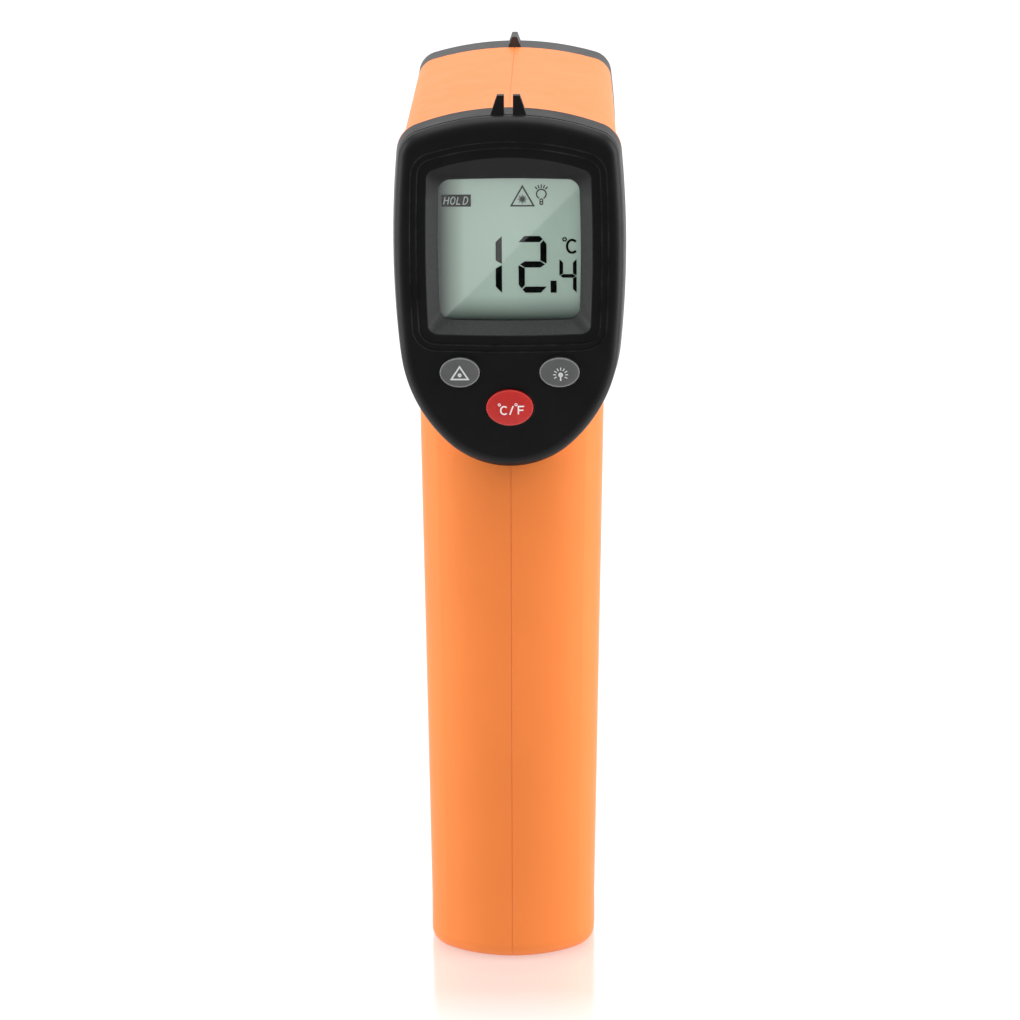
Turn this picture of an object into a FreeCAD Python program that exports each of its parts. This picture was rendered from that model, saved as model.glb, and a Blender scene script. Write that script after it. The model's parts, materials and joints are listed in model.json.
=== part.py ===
"""Pistol-grip infrared thermometer, as an assembly of separate pieces.

World frame: millimetres, +Z up, origin at the centre of the grip's flat base.
The display faces -Y, towards the user, and the lens looks along +Y.

Head frame: origin at the lowest point of the display face, x to the user's right,
y up along the face and z out of the face towards the user, so that what lies
inside the head has a negative z.  Grip frame: origin at the centre of the base,
z up along the leaning grip and y forwards.
"""
import FreeCAD, Part
import math
import os
import re
import Sketcher
from FreeCAD import Placement, Rotation, Vector

DIMENSIONS = {
    # where the head stands over the base
    "head_back": 1.2,
    "head_height": 90.5,
    "head_tilt": 4.0,
    # outline of the display end: w half width, k height of the widest point
    "panel_w": 21.08,
    "panel_k": 40.0,
    "panel_low": -0.3,
    "panel_high": 64.9,
    "panel_low_radius": 17.0,
    "panel_haunch_radius": 27.0,
    "panel_side_radius": 185.0,
    "panel_corner_radius": 5.5,
    "panel_high_radius": 48.0,
    # outline of the nose
    "nose_w": 19.5,
    "nose_k": 46.0,
    "nose_low": 24.0,
    "nose_high": 66.0,
    "nose_low_radius": 24.0,
    "nose_haunch_radius": 13.0,
    "nose_side_radius": 120.0,
    "nose_corner_radius": 4.2,
    "nose_high_radius": 56.0,
    # outline of the grip at its foot and where it runs into the head
    "foot_w": 15.15,
    "foot_k": 0.0,
    "foot_low": -14.5,
    "foot_high": 14.0,
    "foot_low_radius": 19.0,
    "foot_haunch_radius": 8.0,
    "foot_side_radius": 90.0,
    "foot_corner_radius": 7.0,
    "foot_high_radius": 40.0,
    "neck_w": 17.4,
    "neck_k": 29.5,
    "neck_low": 13.9,
    "neck_high": 45.2,
    "neck_low_radius": 22.0,
    "neck_haunch_radius": 9.0,
    "neck_side_radius": 90.0,
    "neck_corner_radius": 8.0,
    "neck_high_radius": 40.0,
    "neck_height": 112.0,
    "lean_slope": 0.25,
    "foot_tall": 8.0,
    "foot_rounding": 2.4,
    # moulded walls
    "wall": 2.0,
    "flange_thick": 1.4,
    "flange_step": 0.8,
    "barrel_long": 63.6,
    "seam_wide": 0.12,
    "seam_deep": 0.10,
    # display bezel
    "bezel_deep": 8.2,
    "bezel_draft": 0.6,
    "bezel_rounding": 2.0,
    "bezel_wall": 1.7,
    "bezel_plate": 2.2,
    "groove_wide": 0.5,
    "groove_deep": 0.45,
    "groove_below_face": 2.3,
    "step_deep": 0.25,
    "inner_step_inset": 1.15,
    # outline of the sunk step round the display
    "step_w": 17.8,
    "step_k": 40.5,
    "step_low": 21.7,
    "step_high": 60.0,
    "step_low_radius": 300.0,
    "step_haunch_radius": 4.2,
    "step_side_radius": 300.0,
    "step_corner_radius": 4.2,
    "step_high_radius": 50.0,
    # outline of the bevel that leads down to the window
    "bevel_w": 15.0,
    "bevel_k": 40.5,
    "bevel_low": 24.6,
    "bevel_high": 57.1,
    "bevel_low_radius": 300.0,
    "bevel_haunch_radius": 1.6,
    "bevel_side_radius": 300.0,
    "bevel_corner_radius": 1.8,
    "bevel_high_radius": 42.0,
    # outline of the window that shows the display
    "window_w": 12.85,
    "window_k": 39.95,
    "window_low": 26.95,
    "window_high": 52.95,
    "window_low_radius": 300.0,
    "window_haunch_radius": 2.2,
    "window_side_radius": 300.0,
    "window_corner_radius": 2.2,
    "window_high_radius": 300.0,
    "window_depth": 2.7,
    "window_thick": 1.2,
    "window_lap": 1.3,
    "window_play": 0.1,
    "collar_outset": 0.2,
    "post_radius": 1.4,
    "post_high_x": 9.0,
    "post_high": 58.0,
    "post_low_x": 9.6,
    "post_low": 10.4,
    # rear sight
    "fin_gap": 1.6,
    "fin_base": 2.65,
    "fin_top": 1.25,
    "fin_tall": 2.85,
    "fin_long": 2.8,
    "fin_back": 2.7,
    "fin_rake": 1.0,
    # buttons
    "grey_button_w": 3.6,
    "grey_button_h": 2.68,
    "grey_button_x": 9.0,
    "grey_button_y": 18.1,
    "red_button_w": 4.25,
    "red_button_h": 3.25,
    "red_button_y": 11.55,
    "button_gap": 0.2,
    "button_rise": 0.95,
    "button_crown": 22.0,
    "button_skirt": 0.7,
    "switch_wide": 4.5,
    "switch_tall": 2.0,
    "plunger_radius": 1.1,
    "plunger_tall": 1.5,
    "bore_play": 0.15,
    # display stack
    "gasket_thick": 0.5,
    "lcd_wide": 29.4,
    "lcd_thick": 2.0,
    "lcd_play": 0.05,
    "holder_wall": 1.0,
    "diffuser_tall": 26.8,
    "diffuser_thick": 1.5,
    "diffuser_top": 6.5,
    "board_face": 9.0,
    "board_thick": 1.2,
    "board_inset": 4.2,
    "zebra_thick": 1.6,
    "zebra_wide": 24.0,
    "board_screw_radius": 0.8,
    "board_screw_head": 1.5,
    # nose
    "nose_long": 8.8,
    "nose_flare": 0.1,
    "nose_rounding": 0.5,
    "nose_front_wall": 4.0,
    "nose_spigot_long": 3.0,
    "nose_spigot_gap": 0.15,
    "nose_spigot_wall": 1.4,
    "lens_axis": 42.0,
    "recess_mouth_radius": 11.6,
    "recess_floor_radius": 9.6,
    "laser_axis": 59.4,
    "laser_hole_radius": 1.8,
    "front_sight_tall": 1.95,
    "front_sight_base": 3.2,
    "front_sight_top": 1.0,
    # optics
    "tube_radius": 12.2,
    "tube_bore": 9.0,
    "tube_long": 26.0,
    "tube_floor": 6.0,
    "lens_radius": 10.8,
    "lens_thick": 1.2,
    "retainer_thick": 1.1,
    "optics_play": 0.1,
    "sensor_radius": 4.1,
    "sensor_long": 4.0,
    "sensor_board_radius": 11.0,
    "laser_radius": 2.6,
    "laser_long": 13.0,
    "laser_window_thick": 0.8,
    # battery bay
    "cell_radius": 5.25,
    "cell_long": 44.5,
    "cell_pitch": 10.9,
    "cell_forward": 0.6,
    "cell_foot": 14.5,
    "tray_wall": 0.9,
    "tray_wide": 23.4,
    "tray_deep": 12.8,
    "cell_nub_radius": 1.9,
    "cell_nub_tall": 0.9,
    "bridge_thick": 0.4,
    "contact_coil_radius": 2.6,
    "contact_coil_pitch": 0.75,
    "contact_coil_tall": 1.4,
    "spring_wire": 0.3,
    "door_wide": 23.0,
    "door_foot": 10.75,
    "door_head": 66.0,
    "door_depth": 7.0,
    "door_gap": 0.25,
    "door_ridge_forward": 14.9,
    "knuckle_radius": 1.7,
    "knuckle_wide": 10.0,
    "hinge_forward": 11.4,
    "hinge_height": 11.0,
    "hinge_round": 2.35,
    "cheek_wide": 2.0,
    "trunnion_radius": 1.0,
    "trunnion_long": 1.8,
    "hinge_play": 0.08,
    "hinge_clearance": 0.6,
    # trigger
    "pivot_forward": 41.0,
    "pivot_height": 105.0,
    "pivot_radius": 1.25,
    "trigger_wide": 13.4,
    "slot_wide": 14.2,
    "slot_low": 70.6,
    "slot_deep": 24.0,
    "slot_front": 8.2,
    "trigger_board_back": 25.5,
    "trigger_board_thick": 1.2,
    "trigger_spring_radius": 2.2,
    "trigger_spring_pitch": 1.35,
    "trigger_spring_tall": 7.2,
    "trigger_edge_radius": 1.0,
    # fastenings
    "screw_radius": 1.0,
    "screw_head_radius": 2.3,
    "screw_head_tall": 1.4,
    "boss_radius": 2.9,
    "wire_radius": 0.6,
}

document = FreeCAD.newDocument("infrared_thermometer")
sheet = document.addObject("Spreadsheet::Sheet", "dims")
for row, (alias, number) in enumerate(DIMENSIONS.items(), start=1):
    sheet.set("A%d" % row, alias)
    sheet.set("B%d" % row, str(number))
    sheet.setAlias("B%d" % row, alias)
document.recompute()


def size(words):
    """The value of an expression written in the sheet's words."""
    named = {alias: float(sheet.get(alias)) for alias in DIMENSIONS}
    terms = re.split(r"([-+*/() ])", words)
    stack = [str(named.get(term, term)) for term in terms]
    return float(FreeCAD.Units.Quantity("".join(stack)).Value)


def bound(words):
    """The same expression as FreeCAD reads it, each word a cell of the sheet."""
    return re.sub(r"[a-z][a-z_]+", lambda found: "dims." + found.group(0), words)


def bind(thing, **formulas):
    for name, words in formulas.items():
        thing.setExpression(name.replace("__", "."), bound(words))
    return thing


# ---------------------------------------------------------------- frames

HEAD = Placement(
    Vector(0, size("head_back"), size("head_height")),
    Rotation(Vector(1, 0, 0), 90 - size("head_tilt")),
)
LEAN = Vector(0, size("lean_slope"), 1)
GRIP = Placement(Vector(0, 0, 0), Rotation(Vector(0, 0, 1), LEAN))
WORLD = Placement()
LYING = Rotation(Vector(0, 1, 0), 90)


def at(frame, x=0, y=0, z=0, turn=None):
    return frame.multiply(Placement(Vector(x, y, z), turn or Rotation()))


# ---------------------------------------------------------------- sketches

def new_body(label, frame=WORLD):
    body = document.addObject("PartDesign::Body", label)
    body.Label = label
    body.Placement = frame
    return body


def new_sketch(body, level="0", role="XY_Plane", shift="0"):
    planes = [item for item in body.Origin.OriginFeatures if item.Role == role]
    sketch = body.newObject("Sketcher::SketchObject", body.Label + "_sketch")
    sketch.AttachmentSupport = [(planes[0], "")]
    sketch.MapMode = "FlatFace"
    sketch.setExpression("AttachmentOffset.Base.z", bound(level))
    sketch.setExpression("AttachmentOffset.Base.y", bound(shift))
    return sketch


def constrain(sketch, kind, *items, formula=None):
    if formula is None:
        return sketch.addConstraint(Sketcher.Constraint(kind, *items))
    index = sketch.addConstraint(Sketcher.Constraint(kind, *items, size(formula)))
    sketch.renameConstraint(index, "size_%d" % index)
    sketch.setExpression("Constraints.size_%d" % index, bound(formula))
    return index


def pin_centre(sketch, arc, x_formula, y_formula):
    if x_formula is None:
        constrain(sketch, "PointOnObject", arc, 3, -2)
    else:
        constrain(sketch, "DistanceX", -1, 1, arc, 3, formula=x_formula)
    constrain(sketch, "DistanceY", -1, 1, arc, 3, formula=y_formula)


def close_with_tangents(sketch, pieces):
    first = sketch.GeometryCount
    for piece in pieces:
        sketch.addGeometry(piece, False)
    for step in range(len(pieces)):
        following = first + (step + 1) % len(pieces)
        constrain(sketch, "Tangent", first + step, 2, following, 1)
    return first


def arc_between(centre, radius, start, end):
    angles = [math.atan2(point.y - centre.y, point.x - centre.x) for point in (start, end)]
    if angles[1] < angles[0]:
        angles[1] += 2 * math.pi
    circle = Part.Circle(centre, Vector(0, 0, 1), radius)
    return Part.ArcOfCircle(circle, angles[0], angles[1])


def rolling_centre(end_centre, end_radius, side_centre, side_radius, radius, upwards):
    """Centre of the arc that touches an end arc and a side arc from inside."""
    reach_end = abs(end_radius - radius)
    reach_side = side_radius - radius
    across = side_centre - end_centre
    along = (reach_end ** 2 - reach_side ** 2 + across.Length ** 2) / (2 * across.Length)
    offset = math.sqrt(reach_end ** 2 - along ** 2)
    unit = Vector(across).normalize()
    sideways = Vector(unit.y, -unit.x, 0) if upwards else Vector(-unit.y, unit.x, 0)
    return end_centre + unit * along + sideways * offset


def touch(corner, corner_radius, end, end_radius):
    sense = 1 if end_radius > corner_radius else -1
    return corner + (corner - end).normalize() * (corner_radius * sense)


def oval(sketch, name, inset="0"):
    """A closed outline of eight tangent arcs, moved inwards by inset."""
    def radius_words(kind):
        return "%s_%s_radius - (%s)" % (name, kind, inset)

    gap = size(inset)
    low_r = size(name + "_low_radius") - gap
    haunch_r = size(name + "_haunch_radius") - gap
    side_r = size(name + "_side_radius") - gap
    corner_r = size(name + "_corner_radius") - gap
    high_r = size(name + "_high_radius") - gap
    low = Vector(0, size("%s_low + %s_low_radius" % (name, name)), 0)
    high = Vector(0, size("%s_high - %s_high_radius" % (name, name)), 0)
    side = Vector(size("%s_w - %s_side_radius" % (name, name)), size(name + "_k"), 0)
    haunch = rolling_centre(low, low_r, side, side_r, haunch_r, haunch_r > low_r)
    corner = rolling_centre(high, high_r, side, side_r, corner_r, True)
    low_point = touch(haunch, haunch_r, low, low_r)
    haunch_point = side + (haunch - side).normalize() * side_r
    corner_point = side + (corner - side).normalize() * side_r
    high_point = touch(corner, corner_r, high, high_r)

    def mirror(point):
        return Vector(-point.x, point.y, 0)

    first = close_with_tangents(sketch, [
        arc_between(low, low_r, mirror(low_point), low_point),
        arc_between(haunch, haunch_r, low_point, haunch_point),
        arc_between(side, side_r, haunch_point, corner_point),
        arc_between(corner, corner_r, corner_point, high_point),
        arc_between(high, high_r, high_point, mirror(high_point)),
        arc_between(mirror(corner), corner_r, mirror(high_point), mirror(corner_point)),
        arc_between(mirror(side), side_r, mirror(corner_point), mirror(haunch_point)),
        arc_between(mirror(haunch), haunch_r, mirror(haunch_point), mirror(low_point)),
    ])
    kinds = ["low", "haunch", "side", "corner", "high", "corner", "side", "haunch"]
    for step, kind in enumerate(kinds):
        constrain(sketch, "Radius", first + step, formula=radius_words(kind))
    pin_centre(sketch, first, None, "%s_low + %s_low_radius" % (name, name))
    pin_centre(sketch, first + 4, None, "%s_high - %s_high_radius" % (name, name))
    pin_centre(sketch, first + 2, "%s_w - %s_side_radius" % (name, name), name + "_k")
    pin_centre(sketch, first + 6, "%s_side_radius - %s_w" % (name, name), name + "_k")
    return sketch


def loft(body, kind, first, second):
    feature = body.newObject("PartDesign::" + kind, body.Label + "_loft")
    feature.Profile = first
    feature.Sections = [second]
    feature.Ruled = True
    return feature


def pad(body, sketch, long, reverse=False):
    feature = body.newObject("PartDesign::Pad", body.Label + "_pad")
    feature.Profile = sketch
    feature.Reversed = reverse
    return bind(feature, Length=long)


def drafted_pad(body, sketch, long, draft, reverse=False):
    """A pad whose walls lean inwards by draft over its length."""
    feature = pad(body, sketch, long, reverse)
    feature.setExpression("TaperAngle", "-atan((%s) / (%s))" % (bound(draft), bound(long)))
    document.recompute()
    return feature


def pocket(body, sketch, deep, reverse=False):
    feature = body.newObject("PartDesign::Pocket", body.Label + "_pocket")
    feature.Profile = sketch
    feature.Reversed = reverse
    return bind(feature, Length=deep)


# ---------------------------------------------------------------- primitives

def box(label, frame, wide, deep, tall, x="0", y="0", z="0"):
    """A box centred on (x, y), standing on z."""
    piece = bind(document.addObject("Part::Box", label), Length=wide, Width=deep, Height=tall)
    corner_x = size("(%s) - (%s) / 2" % (x, wide))
    corner_y = size("(%s) - (%s) / 2" % (y, deep))
    piece.Placement = at(frame, corner_x, corner_y, size(z))
    return piece


def rod(label, frame, radius, tall, x="0", y="0", z="0", turn=None):
    piece = bind(document.addObject("Part::Cylinder", label), Radius=radius, Height=tall)
    piece.Placement = at(frame, size(x), size(y), size(z), turn)
    return piece


def cross_rod(label, radius, long, y, z, x=None, frame=WORLD):
    """A round bar along X; it is centred on x = 0 unless x gives its start."""
    start = "0 - (%s) / 2" % long if x is None else x
    return rod(label, frame, radius, long, start, y, z, LYING)


def cut(label, base, *tools):
    result = document.addObject("Part::Cut", label)
    result.Base = base
    result.Tool = tools[0] if len(tools) == 1 else fuse(label + "_tools", *tools)
    return result


def fuse(label, *pieces):
    result = document.addObject("Part::MultiFuse", label)
    result.Shapes = list(pieces)
    return result


def common(label, *pieces):
    result = document.addObject("Part::MultiCommon", label)
    result.Shapes = list(pieces)
    return result


def group(label, *pieces):
    result = document.addObject("Part::Compound", label)
    result.Links = list(pieces)
    return result


finished = []


def finish(piece, label):
    """Name a sub-part; its label is the name of its file and node."""
    piece.Label = label
    finished.append(piece)
    return piece


# ---------------------------------------------------------------- housing

def barrel_form(label, inset, reach="0"):
    """The head's outer form, moved inwards; reach lengthens it at both ends."""
    body = new_body(label, HEAD)
    rear = oval(new_sketch(body, "0 - bezel_deep + " + reach), "panel", "flange_step + " + inset)
    front = oval(new_sketch(body, "0 - bezel_deep - barrel_long - " + reach), "nose", inset)
    loft(body, "AdditiveLoft", rear, front)
    return body


def round_edges(body, edges, radius):
    sharp = body.Tip
    numbers = [
        number for number, edge in enumerate(sharp.Shape.Edges, start=1) if edges(edge.BoundBox)
    ]
    rounding = body.newObject("PartDesign::Fillet", body.Label + "_rounding")
    rounding.Base = (sharp, ["Edge%d" % number for number in numbers])
    return bind(rounding, Radius=radius)


def grip_form(label, inset, floor="0", rounding="foot_rounding"):
    """The grip's outer form moved inwards: a leaning foot block and the grip above it."""
    foot = new_body(label + "_foot")
    block = pad(foot, oval(new_sketch(foot, floor, shift=floor + " * lean_slope"), "foot", inset),
                "foot_tall - " + floor)
    block.UseCustomVector = True
    block.Direction = LEAN
    document.recompute()
    bottom = size(floor) + 0.01
    round_edges(foot, lambda bounds: bounds.ZMax < bottom, rounding)

    grip = new_body(label)
    sole = oval(new_sketch(grip, "foot_tall", shift="foot_tall * lean_slope"), "foot", inset)
    neck = oval(new_sketch(grip, "neck_height - (%s) / 2" % inset), "neck", inset)
    loft(grip, "AdditiveLoft", sole, neck)
    return fuse(label + "_whole", foot, grip)


def make_outer_form():
    flange = new_body("flange_form", HEAD)
    outline = oval(new_sketch(flange, "0 - bezel_deep"), "panel")
    pad(flange, outline, "flange_thick", reverse=True)
    return fuse("outer_form", barrel_form("barrel_outer", "0"), flange, grip_form("grip_outer", "0"))


# where each housing screw lies, and how far out its head sits
SCREWS = [("1", "6.6", "11.4"), ("17", "70.5", "12.6"), ("49", "114", "15.5"), ("38", "141", "15.4")]
SCREW_TIP = "0 - 8"
CHEEKS = ["0 - knuckle_wide / 2 - door_gap - cheek_wide", "knuckle_wide / 2 + door_gap"]


def hinge_bar(label, radius, long, x=None):
    return cross_rod(label, radius, long, "hinge_forward", "hinge_height", x, GRIP)


def cheek(x):
    """One of the two ears that carry the battery door's trunnions."""
    round_end = hinge_bar("cheek_round", "hinge_round", "cheek_wide", x)
    root = box(
        "cheek_root", GRIP, "cheek_wide", "5", "6.5",
        x + " + cheek_wide / 2", "hinge_forward - 2.5", "hinge_height - 4.2",
    )
    return fuse("cheek", round_end, root)


def make_walls(outer):
    inner = fuse(
        "inner_form",
        barrel_form("barrel_inner", "wall", "0.1"),
        grip_form("grip_inner", "wall", "wall", "foot_rounding - wall"),
    )
    return cut("walls", outer, inner)


def make_inside(outer):
    """Screw bosses, trigger pivot bosses and the ribs behind the trigger board."""
    pieces = [cross_rod("boss", "boss_radius", "44", y, z) for y, z, seat in SCREWS]
    pivot = cross_rod("pivot_boss", "boss_radius", "40", "pivot_forward", "pivot_height")
    middle = box("pivot_gap", WORLD, "slot_wide", "8", "8", "0", "pivot_forward", "pivot_height - 4")
    pieces.append(cut("pivot_bosses", pivot, middle))
    for z in ("77", "98"):
        pieces.append(box("rib", WORLD, "40", "1.2", "2", "0", "trigger_board_back - 0.6", z))
    return common("inside_form", outer, fuse("inside_parts", *pieces))


def make_cutters():
    slot = box(
        "slot", WORLD, "slot_wide", "slot_deep", "38",
        "0", "pivot_forward + slot_front - slot_deep / 2", "slot_low",
    )
    opening = box(
        "door_opening", GRIP, "door_wide", "20", "door_head - door_foot",
        "0", "door_depth + 10", "door_foot",
    )
    clearance = hinge_bar("hinge_room", "hinge_round + hinge_clearance", "door_wide")
    seat = new_body("bezel_seat", HEAD)
    pad(seat, oval(new_sketch(seat, "0 - bezel_deep"), "panel"), "2 * bezel_deep")
    return fuse("openings", slot, opening, clearance, seat)


def make_bores():
    bores = [
        hinge_bar("hinge_bore", "trunnion_radius + hinge_play", "knuckle_wide + 2 * trunnion_long + 1.6"),
        cross_rod("pivot_bore", "pivot_radius + 0.02", "22.4", "pivot_forward", "pivot_height"),
    ]
    for y, z, seat in SCREWS:
        bores.append(cross_rod("pilot", "screw_radius + 0.08", "30", y, z, SCREW_TIP + " - 0.5"))
        bores.append(cross_rod("head_recess", "screw_head_radius + 0.2", "20", y, z, seat))
    return fuse("bores", *bores)


def make_seam_groove():
    slab = box("seam_slab", WORLD, "seam_wide", "200", "300", "0", "30", "0 - 50")
    core = fuse(
        "seam_core",
        barrel_form("barrel_seam", "seam_deep", "1"),
        grip_form("grip_seam", "seam_deep", "seam_deep", "foot_rounding - seam_deep"),
    )
    return cut("seam_groove", slab, core)


def make_housings(outer, walls):
    opened = cut("opened_shell", fuse("shell", walls, make_inside(outer)), make_cutters())
    eared = fuse("eared_shell", opened, *[cheek(x) for x in CHEEKS])
    grooved = cut("grooved_shell", eared, fuse("shell_cuts", make_bores(), make_seam_groove()))
    for label, x in (("left_housing", "0 - 50"), ("right_housing", "50")):
        side = box(label + "_side", WORLD, "100", "300", "300", x, "30", "0 - 50")
        finish(common(label, grooved, side), label)


def make_screws():
    screws = []
    for y, z, seat in SCREWS:
        shaft = cross_rod("screw_shaft", "screw_radius", "%s + 8" % seat, y, z, SCREW_TIP)
        head = cross_rod("screw_head", "screw_head_radius", "screw_head_tall", y, z, seat)
        blade = box("screw_blade", WORLD, "1.4", "3.2", "0.6", seat + " + screw_head_tall", y, z + " - 0.3")
        bar = box("screw_bar", WORLD, "1.4", "0.6", "3.2", seat + " + screw_head_tall", y, z + " - 1.6")
        screws.append(cut("screw", fuse("screw_blank", shaft, head), blade, bar))
    finish(group("housing_screws", *screws), "housing_screws")


# ---------------------------------------------------------------- display bezel

def ellipse_bar(label, w, h, tall, x, y, z):
    """An oval bar along the head's z, from z upwards."""
    outline = bind(document.addObject("Part::Ellipse", label + "_outline"), MajorRadius=w, MinorRadius=h)
    outline.Placement = at(HEAD, size(x), size(y), size(z))
    bar = document.addObject("Part::Extrusion", label)
    bar.Base = outline
    bar.DirMode = "Custom"
    bar.Dir = HEAD.Rotation.multVec(Vector(0, 0, 1))
    bar.Solid = True
    return bind(bar, LengthFwd=tall)


def wedge(label, base, top, left, foot, head, back, front, rake="0"):
    """A tapered block: base and top are its x extents at foot and head; its front leans in by rake."""
    piece = document.addObject("Part::Wedge", label)
    bind(piece, Xmin=base[0], Xmax=base[1], X2min=top[0], X2max=top[1])
    bind(piece, Ymin="0", Ymax="(%s) - (%s)" % (head, foot), Zmin="0", Z2min="0")
    bind(piece, Zmax="(%s) - (%s)" % (front, back), Z2max="(%s) - (%s) - %s" % (front, back, rake))
    piece.Placement = at(HEAD, size(left), size(foot), size(back))
    return piece


BUTTONS = [
    ("laser_button", "0 - grey_button_x", "grey_button_y", "grey_button"),
    ("backlight_button", "grey_button_x", "grey_button_y", "grey_button"),
    ("unit_button", "0", "red_button_y", "red_button"),
]
POSTS = [
    ("0 - post_high_x", "post_high"),
    ("post_high_x", "post_high"),
    ("0 - post_low_x", "post_low"),
    ("post_low_x", "post_low"),
]
WINDOW_BACK = "0 - window_depth - window_thick"


def make_bezel():
    body = new_body("bezel_form", HEAD)
    outline = oval(new_sketch(body, "0 - bezel_deep"), "panel")
    drafted_pad(body, outline, "bezel_deep", "bezel_draft")
    round_edges(body, lambda bounds: bounds.ZMin > -0.01, "bezel_rounding")
    hollow = oval(new_sketch(body, "0 - bezel_deep"), "panel", "bezel_wall")
    pocket(body, hollow, "bezel_deep - bezel_plate", reverse=True)
    collar = oval(new_sketch(body, WINDOW_BACK), "bevel", "0 - collar_outset")
    pad(body, collar, "window_depth + window_thick - bezel_plate + 0.1")
    groove = oval(new_sketch(body, "0 - groove_below_face"), "panel", "0 - 1")
    oval(groove, "panel", "bezel_draft + groove_deep - 0.1")
    pocket(body, groove, "groove_wide")
    pocket(body, oval(new_sketch(body), "step"), "step_deep")
    pocket(body, oval(new_sketch(body), "step", "inner_step_inset"), "2 * step_deep")
    mouth = oval(new_sketch(body, "0 - 2 * step_deep"), "bevel")
    throat = oval(new_sketch(body, "0 - window_depth"), "window")
    loft(body, "SubtractiveLoft", mouth, throat)
    pocket(body, oval(new_sketch(body), "window"), "bezel_deep")
    seat = oval(new_sketch(body, WINDOW_BACK), "window", "0 - window_lap - window_play")
    pocket(body, seat, "window_thick", reverse=True)

    fin = ["0", "fin_base"], ["0", "fin_top"]
    mirrored = ["0 - fin_base", "0"], ["0 - fin_top", "0"]
    extent = (
        "panel_high - bezel_draft - 0.6", "panel_high + fin_tall",
        "0 - fin_back - fin_long", "0 - fin_back", "fin_rake",
    )
    added = [
        wedge("right_fin", fin[0], fin[1], "fin_gap / 2", *extent),
        wedge("left_fin", mirrored[0], mirrored[1], "0 - fin_gap / 2", *extent),
    ]
    removed = []
    for x, y in POSTS:
        added.append(rod("post", HEAD, "post_radius", "board_face - bezel_plate + 0.1", x, y, "0 - board_face"))
        removed.append(rod("post_pilot", HEAD, "board_screw_radius + 0.06", "4", x, y, "0 - board_face"))
    for label, x, y, kind in BUTTONS:
        w = kind + "_w + button_gap"
        h = kind + "_h + button_gap"
        removed.append(ellipse_bar(label + "_hole", w, h, "8", x, y, "0 - 4"))
    bezel = cut("rear_bezel", fuse("bezel_solid", body, *added), fuse("bezel_cuts", *removed))
    finish(bezel, "rear_bezel")


def make_button(label, x, y, kind):
    """A crowned cap with a skirt that keeps it in, and a stem down to its switch."""
    w = kind + "_w"
    h = kind + "_h"
    head = ellipse_bar(label + "_head", w, h, "bezel_plate + 3", x, y, "0 - bezel_plate - 0.6")
    crown = bind(document.addObject("Part::Sphere", label + "_crown"), Radius="button_crown")
    crown.Placement = at(HEAD, size(x), size(y), size("button_rise - button_crown"))
    cap = common(label + "_cap", head, crown)
    skirt = ellipse_bar(
        label + "_skirt", w + " + button_skirt", h + " + button_skirt", "0.8", x, y, "0 - bezel_plate - 1.1",
    )
    stem = rod(label + "_stem", HEAD, "1.5", "3.2", x, y, "0 - 6")
    finish(fuse(label, cap, skirt, stem), label)
    plunger = rod(label + "_plunger", HEAD, "plunger_radius", "plunger_tall", x, y, "0 - 6 - plunger_tall")
    finish(plunger, label.replace("button", "plunger"))


def make_buttons():
    switches = []
    for label, x, y, kind in BUTTONS:
        make_button(label, x, y, kind)
        block = box(label + "_switch", HEAD, "switch_wide", "switch_wide", "switch_tall", x, y, "0 - board_face")
        bore = rod(label + "_bore", HEAD, "plunger_radius + bore_play", "2", x, y, "0 - board_face + 0.7")
        switches.append(cut(label + "_switch_body", block, bore))
    finish(group("button_switches", *switches), "button_switches")


# ---------------------------------------------------------------- display stack

LCD_LOW = "window_k - lcd_wide / 2"
BOARD_BACK = "0 - board_face - board_thick"


def make_display():
    window = new_body("display_window", HEAD)
    pad(window, oval(new_sketch(window, WINDOW_BACK), "window", "0 - window_lap"), "window_thick")
    finish(window, "display_window")

    gasket = new_body("lcd_gasket", HEAD)
    ring = oval(new_sketch(gasket, WINDOW_BACK), "window", "0 - window_lap")
    oval(ring, "window", "0 - window_play")
    pad(gasket, ring, "gasket_thick", reverse=True)
    finish(gasket, "lcd_gasket")

    lcd_top = "0 - window_depth - window_thick - gasket_thick"
    glass = box("lcd_glass", HEAD, "lcd_wide", "lcd_wide", "lcd_thick", "0", "window_k", lcd_top + " - lcd_thick")
    finish(glass, "lcd_glass")

    outside = "lcd_wide + 2 * lcd_play + 2 * holder_wall"
    deep = "board_face - window_depth - window_thick - gasket_thick"
    frame = box("holder_block", HEAD, outside, outside, deep, "0", "window_k", "0 - board_face")
    room = box(
        "holder_room", HEAD, "lcd_wide + 2 * lcd_play", "lcd_wide + 2 * lcd_play", "20",
        "0", "window_k", "0 - 15",
    )
    finish(cut("lcd_holder", frame, room), "lcd_holder")

    diffuser = box(
        "backlight_diffuser", HEAD, "lcd_wide - 0.2", "diffuser_tall", "diffuser_thick",
        "0", LCD_LOW + " + lcd_wide - 0.2 - diffuser_tall / 2", "0 - diffuser_top - diffuser_thick",
    )
    finish(diffuser, "backlight_diffuser")
    zebra = box(
        "zebra_strip", HEAD, "zebra_wide", "zebra_thick", "board_face - lcd_thick - 4.4",
        "0", LCD_LOW + " + 0.2 + zebra_thick / 2", "0 - board_face",
    )
    finish(zebra, "zebra_strip")
    finish(box("backlight_led", HEAD, "4", "2", "0.9", "0", "window_k", "0 - board_face"), "backlight_led")


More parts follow.
